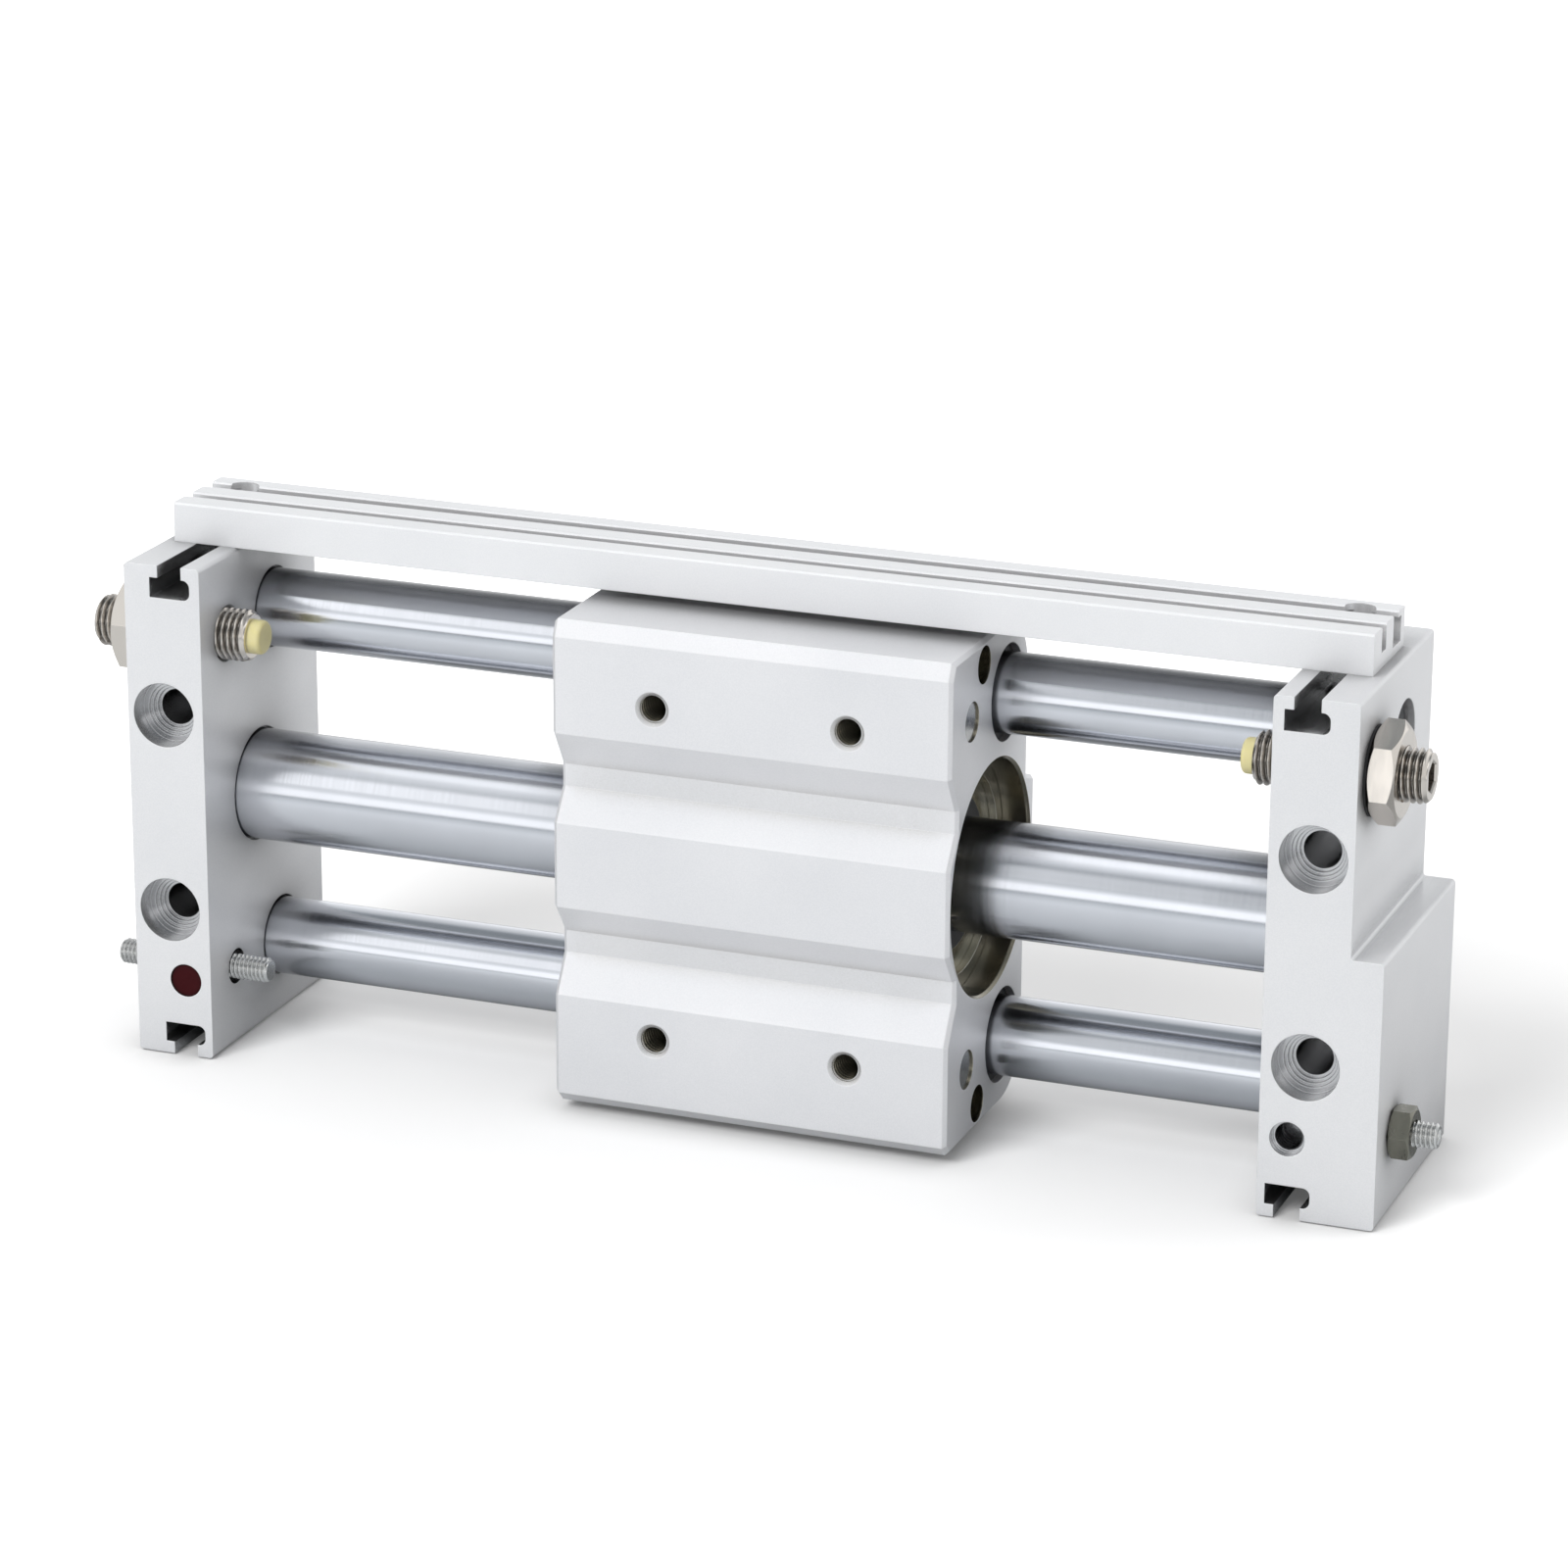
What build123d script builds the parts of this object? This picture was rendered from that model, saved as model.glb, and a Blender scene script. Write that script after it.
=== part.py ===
from build123d import *
from math import cos, hypot, pi, radians, sin
import os

os.makedirs("parts", exist_ok=True)

# Magnetic rodless cylinder with a slider on two guide rods, in millimetres.
# X runs along the tube from the left end plate to the right one, Z is up, and Y runs from the
# slider's table face at the front to the mounting face at the backs of the end plates.
# The origin is the middle of the four mounting holes, in the plane of the mounting face.

# Fits and clearances
running_gap = 0.04  # radial, between a rod or the tube and what slides on it
seat_gap = 0.02  # radial, between a pressed or seated piece and its bore
thread_gap = 0.05  # radial, between a screw's outside and its hole
free_gap = 0.3  # between bodies that only come near each other
radial_play = 0.4  # between the tube and the magnet rings on both sides of its wall

# End plates: lengths of one extruded section that runs from front to back
inner_span = 164.8
plate_depth = 39.0
plate_edge = 12.1  # from a rod's axis to the plate's top or bottom edge
plate_thickness = 12.4
step_thickness = 4.8  # extra thickness of the right plate's lower half
step_top = 1.4  # height of the step's ledge above the tube's axis
plate_corner = 0.6
step_fillet = 0.5

# Axes, each as its distance in front of the mounting face and from the tube's height
tube_back = 20.5
rod_back = 14.6
rod_pitch = 53.0
bolt_back = 30.2

# Slots for square nuts in the top and bottom edges of both plates
slot_inset = 4.9  # from the plate's inner face
bottom_slot_inset = 4.5
slot_mouth = 3.9
slot_lip = 1.9
slot_width = 6.6
slot_depth = 5.0
slot_round = 1.1

# Mounting holes through both plates, counterbored in steps from the front
mount_drop = 11.1  # height between a rod's axis and the mounting hole next to it
mount_inset = 6.5  # from the plate's inner face
mount_radius = 2.75
mount_head_radius = 5.0
mount_head_depth = 3.2
mount_step_radius = 4.1
mount_step_depth = 4.8
mount_step_count = 3

# Air ports in the front faces
port_inset = 4.2  # from the plate's inner face
port_radius = 2.1
port_depth = 5.0
port_lead_radius = 2.6
port_lead_depth = 1.2
plug_recess = 0.3

# Cylinder tube
tube_radius = 8.5
tube_wall = 1.0
tube_seat = 7.0  # how far the tube enters each plate
chamber_lip = 1.0  # of the plate inside the tube's bore
chamber_depth = 1.6
tube_seal_inset = 3.4
tube_seal_section = 0.6

# Relief round the tube and the rods where they enter a plate
seat_mouth = 0.3
seat_mouth_depth = 0.8

# Guide rods and the screws in their ends
rod_radius = 6.0
rod_seat = 4.6
blind_rod_seat = 11.0  # of the lower rod in the thick part of the right plate
rod_chamfer = 0.5
rod_tap_depth = 14.0
rod_screw_radius = 3.0
rod_screw_reach = 11.0
rod_screw_head_radius = 5.0
rod_screw_head_height = 4.0
rod_screw_recess_radius = 5.75
rod_screw_recess_depth = 5.2
rod_screw_socket = 4.0
rod_screw_socket_depth = 2.2
set_screw_radius = 2.0
set_screw_length = 7.5
set_screw_socket = 2.0
set_screw_socket_depth = 1.8
rod_flat_depth = 0.5

# Adjusting bolts with urethane tips, above, and stop bolts, below
bolt_radius = 4.0
bolt_length = 25.0
bolt_reach = 4.4  # of the metal past the plate's inner face
bolt_socket = 4.0
bolt_socket_depth = 4.0
bolt_point = 0.6
bolt_mouth = 0.35
tip_radius = 2.6
tip_length = 2.0
tip_shank_radius = 1.6
tip_shank_length = 4.0
stop_radius = 2.0
stop_length = 25.0
left_stop_reach = 5.8
right_stop_reach = 1.1
stop_socket = 2.0
stop_socket_depth = 2.0
stop_point = 0.4
stop_relief_radius = 2.75
stop_relief_depth = 3.0
nut_flats = 13.0
nut_height = 4.0
nut_seal_radius = 6.5
nut_seal_height = 0.4  # of the ring under the right lock nut
stop_nut_flats = 7.0
stop_nut_height = 3.2
nut_chamfer_angle = 30.0
nut_face_share = 0.95  # of the flats, for the bearing face of a nut
left_nut_turn = -12.0
right_nut_turn = 18.0
stop_nut_turn = -5.0
piston_nut_turn = 30.0

# Slide block: section of an extrusion along the rods
block_length = 61.4
block_rest = 5.0  # middle of the block at rest
block_edge = 10.8  # from a rod's axis to the block's top or bottom
block_back_corner = 9.5  # round the rods
block_end_chamfer = 0.6
top_bevel_height = 2.5
top_bevel_depth = 1.2
bottom_bevel = 1.6
groove_outer = 20.2
groove_outer_bottom = 14.6
groove_inner_bottom = 11.2
groove_inner = 6.5
groove_depth = 3.4
bore_front_wall = 1.1
bore_web = 1.0  # least wall between the bore and a bush
bore_mouth = 0.4
boss_wall = 1.5
boss_half_height = 10.0
boss_flank = 1.2
table_pitch_x = 30.0
table_pitch_z = 51.0
table_hole_radius = 2.1
table_hole_depth = 9.0
table_hole_flare = 0.55
drill_angle = 118.0

# Guide bushes and wipers in the block's rod bores
bush_radius = 7.25
bush_length = 14.0
wiper_length = 2.0
wiper_recess = 1.2

# Steel strike pins and sensor magnets in the ends of the block
pin_radius = 2.95
pin_length = 8.0
pin_recess = 0.3
sensor_back = 25.2
sensor_rise = 7.1  # from a rod's axis out to the sensor magnet next to it
sensor_radius = 2.8
sensor_length = 57.0

# Magnet stack round the tube
ring_recess = 4.2
ring_thickness = 1.2
ring_width = 2.4
ring_groove = 0.7
ring_gap_angle = 84.0
ring_lug_radius = 2.0
ring_lug_hole = 0.8
holder_length = 6.0
tube_wiper_wall = 3.0
tube_wiper_length = 2.0
wear_ring_wall = 1.5
magnet_length = 5.5
magnet_count = 4
outer_magnet_relief = 0.8
outer_yoke_relief = 0.3

# Piston assembly inside the tube
shaft_radius = 2.5
piston_length = 9.0
piston_clearance = 0.3
piston_seal_width = 1.8
piston_seal_depth = 1.3
piston_seal_inset = 2.2
piston_band_width = 2.4
piston_band_depth = 0.9
piston_band_inset = 5.4
bumper_clearance = 2.1
bumper_length = 2.4
piston_nut_flats = 8.0
piston_nut_height = 3.2
inner_magnet_relief = 0.3

# Sensor rail along the top of both plates
rail_end_inset = 1.9  # from each plate's outer face
rail_front = 13.0  # behind the plates' front faces
rail_height = 6.1
rail_front_wall = 4.0
rail_slot = 2.3
rail_slot_floor = 2.3
rail_middle_wall = 3.8
rail_channel = 4.1
rail_channel_floor = 1.3
rail_back_wall = 1.9
rail_lip_reach = 1.4
rail_lip_height = 1.0
rail_edge = 0.3
rail_pocket_radius = 2.4
rail_screw_radius = 1.25
rail_screw_head_radius = 2.1
rail_screw_head_height = 1.6
rail_screw_cross = 0.9
rail_nut_side = 6.0
rail_nut_height = 2.4

# Places worked out from the sizes above
inner_x = inner_span / 2
outer_x = inner_x + plate_thickness
step_x = outer_x + step_thickness
rod_z = rod_pitch / 2
top_z = rod_z + plate_edge
block_top = rod_z + block_edge
mount_z = rod_z - mount_drop
sensor_z = rod_z + sensor_rise
port_z = -rod_z
front_y = -plate_depth
tube_y = -tube_back
rod_y = -rod_back
bolt_y = -bolt_back
tube_bore = tube_radius - tube_wall
chamber_radius = tube_bore - chamber_lip
rod_to_tube = hypot(rod_z, tube_back - rod_back)
bore_radius = min(plate_depth - tube_back - bore_front_wall, rod_to_tube - bush_radius - bore_web)
outer_magnet_radius = bore_radius - outer_magnet_relief
tube_wiper_radius = tube_radius + tube_wiper_wall
wear_ring_radius = tube_radius + wear_ring_wall
piston_radius = tube_bore - piston_clearance
bumper_radius = tube_bore - bumper_clearance
inner_magnet_radius = tube_bore - radial_play - inner_magnet_relief
block_back_y = rod_y + block_back_corner
boss_back_y = tube_y + bore_radius + boss_wall
block_half = block_length / 2
stack_half = block_half - ring_recess - ring_thickness
core_half = stack_half - holder_length
yoke_count = magnet_count + 1
yoke_length = (2 * core_half - magnet_count * magnet_length) / yoke_count
piston_end = core_half + piston_length
sleeve_radius = tube_radius + running_gap


def rod_along_x(radius, x0, x1, y, z):
    return Pos((x0 + x1) / 2, y, z) * Rot(0, 90, 0) * Cylinder(radius, abs(x1 - x0))


def rod_along_y(radius, y0, y1, x, z):
    return Pos(x, (y0 + y1) / 2, z) * Rot(90, 0, 0) * Cylinder(radius, abs(y1 - y0))


def rod_along_z(radius, z0, z1, x, y):
    return Pos(x, y, (z0 + z1) / 2) * Cylinder(radius, abs(z1 - z0))


def tube_along_x(outer, inner, x0, x1, y, z):
    return rod_along_x(outer, x0, x1, y, z) - rod_along_x(inner, x0, x1, y, z)


def cone_along_x(radius0, radius1, x0, x1, y, z):
    # radius0 belongs to x0 and radius1 to x1, with x0 below x1
    return Pos((x0 + x1) / 2, y, z) * Rot(0, 90, 0) * Cone(radius0, radius1, x1 - x0)


def cone_along_y(radius0, radius1, y0, y1, x, z):
    # radius0 belongs to y0 and radius1 to y1, with y0 below y1
    return Pos(x, (y0 + y1) / 2, z) * Rot(-90, 0, 0) * Cone(radius0, radius1, y1 - y0)


def hexagon_along_x(flats, x0, x1, y, z, turn=30):
    # a turn of 30 points two corners up and down, and a turn of 0 points them front and back
    section = RegularPolygon(flats / 2, 6, major_radius=False, rotation=turn)
    return extrude(Plane((min(x0, x1), y, z), (0, 1, 0), (1, 0, 0)) * section, abs(x1 - x0))


def hex_nut(flats, height, bore, x0, y, z, turn):
    corner = flats / 2 / cos(radians(30))
    blank = Cylinder(corner, height)
    drop = corner - nut_face_share * flats / 2
    rise = drop * sin(radians(nut_chamfer_angle)) / cos(radians(nut_chamfer_angle))
    blank = chamfer(blank.edges().filter_by(GeomType.CIRCLE), rise, drop)
    blank = Pos(x0 + height / 2, y, z) * Rot(0, 90, 0) * blank
    nut = blank & hexagon_along_x(flats, x0, x0 + height, y, z, turn)
    return nut - rod_along_x(bore, x0, x0 + height, y, z)


def slot_section(x_mid, edge_z, up):
    # the nut slot's section at a top edge (up is 1) or a bottom edge (up is -1)
    mouth = Pos(x_mid, edge_z - up * slot_lip / 2) * Rectangle(slot_mouth, slot_lip)
    cavity_height = slot_depth - slot_lip
    cavity_z = edge_z - up * (slot_lip + cavity_height / 2)
    cavity = Pos(x_mid, cavity_z) * Rectangle(slot_width, cavity_height)
    rounded = cavity.vertices().sort_by(Axis.X)[-2:]
    return mouth + fillet(rounded, min(slot_round, cavity_height / 2.05))


def plate_section(side):
    outline = [
        (side * inner_x, -top_z),
        (side * inner_x, top_z),
        (side * outer_x, top_z),
    ]
    if side > 0:
        outline += [(outer_x, step_top), (step_x, step_top), (step_x, -top_z)]
    else:
        outline += [(-outer_x, -top_z)]
    section = make_face(Polyline(*outline, close=True))
    notch = [v for v in section.vertices() if side > 0 and v.X == outer_x and v.Y == step_top]
    corners = [v for v in section.vertices() if v not in notch]
    section = fillet(corners, plate_corner)
    if side > 0:
        notch = section.vertices().sort_by_distance(Vertex(outer_x, step_top, 0))[:1]
        section = fillet(notch, step_fillet)
    section -= slot_section(side * (inner_x + slot_inset), top_z, 1)
    return section - slot_section(side * (inner_x + bottom_slot_inset), -top_z, -1)


def ring_along_x(section, x, y, z, radius):
    # a ring of round section about an axis along X
    return Pos(x, y, z) * Rot(0, 90, 0) * Torus(radius, section)


def mounting_hole(x, z):
    hole = rod_along_y(mount_radius, front_y, 0, x, z)
    hole += rod_along_y(mount_head_radius, front_y, front_y + mount_head_depth, x, z)
    for index in range(mount_step_count):
        radius = mount_step_radius - index * (mount_step_radius - mount_radius) / mount_step_count
        below_head = (index + 1) * (mount_step_depth - mount_head_depth) / mount_step_count
        hole += rod_along_y(radius, front_y, front_y + mount_head_depth + below_head, x, z)
    return hole


def port_hole(x):
    hole = rod_along_y(port_radius, front_y, front_y + port_depth, x, port_z)
    return hole + rod_along_y(port_lead_radius, front_y, front_y + port_lead_depth, x, port_z)


def rod_screw_hole(side, z):
    # the counterbored hole for the screw in the end of a rod, from a plate's outer face
    bore = rod_screw_radius + free_gap
    hole = rod_along_x(bore, side * inner_x, side * outer_x, rod_y, z)
    recess_x = outer_x - rod_screw_recess_depth
    return hole + rod_along_x(rod_screw_recess_radius, side * recess_x, side * outer_x, rod_y, z)


def seat_relief(side, radius, y, z):
    end_x = inner_x + seat_mouth_depth
    return rod_along_x(radius + seat_mouth, side * inner_x, side * end_x, y, z)


def tube_end_seat(side):
    seat_x = inner_x + tube_seat
    seat = rod_along_x(tube_radius + seat_gap, side * inner_x, side * seat_x, tube_y, 0)
    seat += seat_relief(side, tube_radius, tube_y, 0)
    seat += rod_along_x(chamber_radius, side * seat_x, side * (seat_x + chamber_depth), tube_y, 0)
    groove_x = inner_x + tube_seal_inset
    half = tube_seal_section + seat_gap
    groove_radius = tube_radius + 2 * half
    return seat + rod_along_x(groove_radius, side * (groove_x - half), side * (groove_x + half), tube_y, 0)


def adjusting_hole(side, face_x):
    hole = rod_along_x(bolt_radius, side * inner_x, side * face_x, bolt_y, rod_z)
    x0, x1 = sorted((side * inner_x, side * (inner_x + bolt_mouth)))
    wide, narrow = bolt_radius + bolt_mouth, bolt_radius
    flare = (wide, narrow) if side > 0 else (narrow, wide)
    return hole + cone_along_x(*flare, x0, x1, bolt_y, rod_z)


def stop_hole(side, face_x):
    hole = rod_along_x(stop_radius, side * inner_x, side * face_x, bolt_y, -rod_z)
    relief_x = inner_x + stop_relief_depth
    return hole + rod_along_x(stop_relief_radius, side * inner_x, side * relief_x, bolt_y, -rod_z)


def end_plate(side):
    lower_face = step_x if side > 0 else outer_x
    plate = extrude(Plane.XZ * plate_section(side), plate_depth)
    plate -= tube_end_seat(side)
    plate -= adjusting_hole(side, outer_x)
    plate -= stop_hole(side, lower_face)
    plate -= port_hole(side * (inner_x + port_inset))
    for z in (-mount_z, mount_z):
        plate -= mounting_hole(side * (inner_x + mount_inset), z)
    for z in (-rod_z, rod_z):
        seat = blind_rod_seat if side > 0 and z < 0 else rod_seat
        plate -= rod_along_x(rod_radius + seat_gap, side * inner_x, side * (inner_x + seat), rod_y, z)
        plate -= seat_relief(side, rod_radius, rod_y, z)
    plate -= rod_screw_hole(side, rod_z)
    if side < 0:
        plate -= rod_screw_hole(side, -rod_z)
    else:
        plate -= rod_along_y(set_screw_radius, rod_y, 0, set_screw_x(), -rod_z)
    return plate


def set_screw_x():
    return inner_x + blind_rod_seat / 2


def cylinder_tube():
    half = inner_x + tube_seat
    return tube_along_x(tube_radius, tube_bore, -half, half, tube_y, 0)


def tube_end_seals():
    radius = tube_radius + tube_seal_section + seat_gap
    x = inner_x + tube_seal_inset
    return [ring_along_x(tube_seal_section, side * x, tube_y, 0, radius) for side in (-1, 1)]


def guide_rod(z, right_seat, right_screw):
    x0 = -inner_x - rod_seat
    x1 = inner_x + right_seat
    rod = rod_along_x(rod_radius, x0, x1, rod_y, z)
    rod = chamfer(rod.edges().filter_by(GeomType.CIRCLE), rod_chamfer)
    rod -= rod_along_x(rod_screw_radius, x0, x0 + rod_tap_depth, rod_y, z)
    if right_screw:
        return rod - rod_along_x(rod_screw_radius, x1 - rod_tap_depth, x1, rod_y, z)
    flat = Box(set_screw_radius * 3, rod_radius, rod_radius * 2)
    return rod - Pos(set_screw_x(), rod_y + rod_radius * 1.5 - rod_flat_depth, z) * flat


def rod_screw(side, z):
    head_base = outer_x - rod_screw_recess_depth
    head_top = head_base + rod_screw_head_height
    socket_base = head_top - rod_screw_socket_depth
    tip = inner_x + rod_seat - rod_screw_reach
    screw = rod_along_x(rod_screw_head_radius, side * head_base, side * head_top, rod_y, z)
    screw += rod_along_x(rod_screw_radius - thread_gap, side * tip, side * head_base, rod_y, z)
    return screw - hexagon_along_x(rod_screw_socket, side * socket_base, side * head_top, rod_y, z)


def guide_rod_screws():
    return [rod_screw(-1, rod_z), rod_screw(-1, -rod_z), rod_screw(1, rod_z)]


def rod_set_screw():
    tip_y = rod_y + rod_radius - rod_flat_depth
    end_y = tip_y + set_screw_length
    x = set_screw_x()
    screw = rod_along_y(set_screw_radius - thread_gap, tip_y, end_y, x, -rod_z)
    section = RegularPolygon(set_screw_socket / 2, 6, major_radius=False)
    socket = extrude(Plane.XZ * Pos(x, -rod_z) * section, set_screw_socket_depth)
    return screw - Pos(0, end_y, 0) * socket


def headless_bolt(radius, length, point, socket, socket_depth, side, tip_x, z):
    # tip_x is the inner end, and the socket is in the outer end
    end_x = tip_x + length
    bolt = rod_along_x(radius - thread_gap, side * tip_x, side * end_x, bolt_y, z)
    bolt = chamfer(bolt.edges().filter_by(GeomType.CIRCLE), point)
    return bolt - hexagon_along_x(socket, side * (end_x - socket_depth), side * end_x, bolt_y, z)


def adjusting_bolt(side):
    tip_x = inner_x - bolt_reach
    bolt = headless_bolt(
        bolt_radius, bolt_length, bolt_point, bolt_socket, bolt_socket_depth, side, tip_x, rod_z
    )
    socket_end = tip_x + tip_shank_length
    return bolt - rod_along_x(tip_shank_radius, side * tip_x, side * socket_end, bolt_y, rod_z)


def bolt_tip(side):
    metal_x = inner_x - bolt_reach
    end_x = metal_x - tip_length
    tip = rod_along_x(tip_radius, side * end_x, side * metal_x, bolt_y, rod_z)
    free_end = tip.edges().filter_by(GeomType.CIRCLE).sort_by_distance((0, bolt_y, rod_z))[0]
    tip = fillet(free_end, min(tip_length, tip_radius) / 3)
    shank_end = metal_x + tip_shank_length - free_gap
    shank_radius = tip_shank_radius - seat_gap
    return tip + rod_along_x(shank_radius, side * metal_x, side * shank_end, bolt_y, rod_z)


def stop_bolt(side, reach):
    tip_x = inner_x - reach
    return headless_bolt(
        stop_radius, stop_length, stop_point, stop_socket, stop_socket_depth, side, tip_x, -rod_z
    )


def lock_nut(side, turn):
    seat_x = outer_x + nut_seal_height if side > 0 else outer_x
    x0 = min(side * seat_x, side * (seat_x + nut_height))
    return hex_nut(nut_flats, nut_height, bolt_radius, x0, bolt_y, rod_z, turn)


def lock_nut_seal():
    end_x = outer_x + nut_seal_height
    return tube_along_x(nut_seal_radius, bolt_radius + seat_gap, outer_x, end_x, bolt_y, rod_z)


def stop_nut():
    return hex_nut(
        stop_nut_flats, stop_nut_height, stop_radius, step_x, bolt_y, -rod_z, stop_nut_turn
    )


def port_plug():
    x = -inner_x - port_inset
    y0 = front_y + plug_recess
    head = rod_along_y(port_lead_radius - seat_gap, y0, front_y + port_lead_depth, x, port_z)
    return head + rod_along_y(port_radius - seat_gap, y0, front_y + port_depth, x, port_z)


def block_section():
    front = front_y
    floor = front_y + groove_depth
    top = block_top
    upper_half = [
        (front + top_bevel_depth, top),
        (front, top - top_bevel_height),
        (front, groove_outer),
        (floor, groove_outer_bottom),
        (floor, groove_inner_bottom),
        (front, groove_inner),
    ]
    lower_half = [(y, -z) for y, z in reversed(upper_half[2:])]
    lower_half += [(front, bottom_bevel - top), (front + bottom_bevel, -top)]
    boss_base = boss_half_height + boss_flank
    back = [
        (block_back_y, -top),
        (block_back_y, -boss_base),
        (boss_back_y, -boss_half_height),
        (boss_back_y, boss_half_height),
        (block_back_y, boss_base),
        (block_back_y, top),
    ]
    section = make_face(Polyline(*upper_half, *lower_half, *back, close=True))
    corners = [v for v in section.vertices() if abs(v.X - block_back_y) < 0.01 and abs(v.Y) > top - 1]
    return fillet(corners, block_back_corner)


def along_block(piece):
    return Pos(block_rest, 0, 0) * piece


def table_hole(x, z):
    hole = rod_along_y(table_hole_radius, front_y, front_y + table_hole_depth, x, z)
    flare = cone_along_y(
        table_hole_radius + table_hole_flare, table_hole_radius, front_y, front_y + table_hole_flare, x, z
    )
    tip = table_hole_radius * cos(radians(drill_angle / 2)) / sin(radians(drill_angle / 2))
    end_y = front_y + table_hole_depth
    return hole + flare + cone_along_y(table_hole_radius, 0, end_y, end_y + tip, x, z)


def snap_ring_groove(side):
    x0 = block_half - ring_recess
    x1 = x0 - ring_thickness
    return rod_along_x(bore_radius + ring_groove, side * x0, side * x1, tube_y, 0)


def slide_block():
    section = Plane.YZ * block_section()
    block = Pos(-block_half, 0, 0) * extrude(section, block_length)
    ends = block.faces().filter_by(Axis.X)
    block = chamfer(ends.edges(), block_end_chamfer)
    block -= rod_along_x(bore_radius, -block_half, block_half, tube_y, 0)
    for side in (-1, 1):
        block -= snap_ring_groove(side)
        x0, x1 = sorted((side * block_half, side * (block_half - bore_mouth)))
        wide, narrow = bore_radius + bore_mouth, bore_radius
        flare = (narrow, wide) if side > 0 else (wide, narrow)
        block -= cone_along_x(*flare, x0, x1, tube_y, 0)
        for z in (-rod_z, rod_z):
            pin_x = side * (block_half - pin_length)
            block -= rod_along_x(pin_radius + seat_gap, pin_x, side * block_half, bolt_y, z)
    for z in (-rod_z, rod_z):
        block -= rod_along_x(bush_radius + seat_gap, -block_half, block_half, rod_y, z)
    for z in (-sensor_z, sensor_z):
        block -= rod_along_x(sensor_radius + seat_gap, -block_half, block_half, -sensor_back, z)
    for x in (-table_pitch_x / 2, table_pitch_x / 2):
        for z in (-table_pitch_z / 2, table_pitch_z / 2):
            block -= table_hole(x, z)
    return along_block(block)


def mirrored_pair(make):
    return [along_block(make(side)) for side in (-1, 1)]


def guide_bushes(z):
    inner = rod_radius + running_gap
    start = block_half - wiper_recess - wiper_length

    def bush(side):
        end = start - bush_length
        return tube_along_x(bush_radius, inner, side * start, side * end, rod_y, z)

    return mirrored_pair(bush)


def rod_wipers(z):
    inner = rod_radius + running_gap
    start = block_half - wiper_recess

    def wiper(side):
        end = start - wiper_length
        return tube_along_x(bush_radius, inner, side * start, side * end, rod_y, z)

    return mirrored_pair(wiper)


def strike_pins():
    pins = []
    for z in (-rod_z, rod_z):

        def pin(side):
            start = block_half - pin_length
            end = block_half - pin_recess
            return rod_along_x(pin_radius, side * start, side * end, bolt_y, z)

        pins += mirrored_pair(pin)
    return pins


def sensor_magnets():
    half = sensor_length / 2
    places = (-sensor_z, sensor_z)
    return [along_block(rod_along_x(sensor_radius, -half, half, -sensor_back, z)) for z in places]


def snap_rings():
    outer = bore_radius + ring_groove - 2 * seat_gap
    inner = bore_radius - ring_width
    half_gap = ring_gap_angle / 2
    lug_circle = inner - ring_lug_radius / 2

    def ring(side):
        x0 = block_half - ring_recess - seat_gap
        x1 = x0 - ring_thickness + 2 * seat_gap
        low = min(side * x0, side * x1)
        thickness = abs(x1 - x0)
        reach = 2 * outer
        edge = radians(half_gap)
        wedge = Polygon(
            (0, 0), (-reach * cos(edge), reach * sin(edge)), (-reach * cos(edge), -reach * sin(edge)), align=None
        )
        section = Circle(outer) - Circle(inner) - wedge
        for up in (-1, 1):
            angle = pi - up * radians(half_gap + ring_lug_spread(lug_circle))
            place = Pos(lug_circle * cos(angle), lug_circle * sin(angle))
            section += place * Circle(ring_lug_radius)
            section -= place * Circle(ring_lug_hole)
        return extrude(Plane((low, tube_y, 0), (0, 1, 0), (1, 0, 0)) * section, thickness)

    return mirrored_pair(ring)


def ring_lug_spread(circle):
    # the angle by which a lug's middle stands back from the ring's gap
    return ring_lug_radius / circle * 180 / pi


def magnet_holders():
    def holder(side):
        end = stack_half - holder_length
        body = tube_along_x(
            bore_radius - seat_gap, tube_radius + radial_play, side * stack_half, side * end, tube_y, 0
        )
        wiper_end = stack_half - tube_wiper_length
        body -= rod_along_x(tube_wiper_radius, side * stack_half, side * wiper_end, tube_y, 0)
        return body - rod_along_x(wear_ring_radius, side * wiper_end, side * end, tube_y, 0)

    return mirrored_pair(holder)


def tube_wipers():
    def wiper(side):
        end = stack_half - tube_wiper_length
        outer = tube_wiper_radius - seat_gap
        return tube_along_x(outer, sleeve_radius, side * stack_half, side * end, tube_y, 0)

    return mirrored_pair(wiper)


def slider_wear_rings():
    def band(side):
        start = stack_half - tube_wiper_length
        end = stack_half - holder_length
        outer = wear_ring_radius - seat_gap
        return tube_along_x(outer, sleeve_radius, side * start, side * end, tube_y, 0)

    return mirrored_pair(band)


def core_rings(outer, inner, start, length, count):
    # a row of equal rings in the magnet core, one for each step of a yoke and a magnet
    step = yoke_length + magnet_length
    places = [start + index * step for index in range(count)]
    return [along_block(tube_along_x(outer, inner, x, x + length, tube_y, 0)) for x in places]


def slider_yokes():
    inner = tube_radius + radial_play
    return core_rings(bore_radius - seat_gap, inner, -core_half, yoke_length, yoke_count)


def slider_magnets():
    inner = tube_radius + radial_play + outer_yoke_relief
    return core_rings(outer_magnet_radius, inner, yoke_length - core_half, magnet_length, magnet_count)


def piston_yokes():
    outer = tube_bore - radial_play
    return core_rings(outer, shaft_radius + seat_gap, -core_half, yoke_length, yoke_count)


def piston_magnets():
    start = yoke_length - core_half
    return core_rings(inner_magnet_radius, shaft_radius + seat_gap, start, magnet_length, magnet_count)


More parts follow.
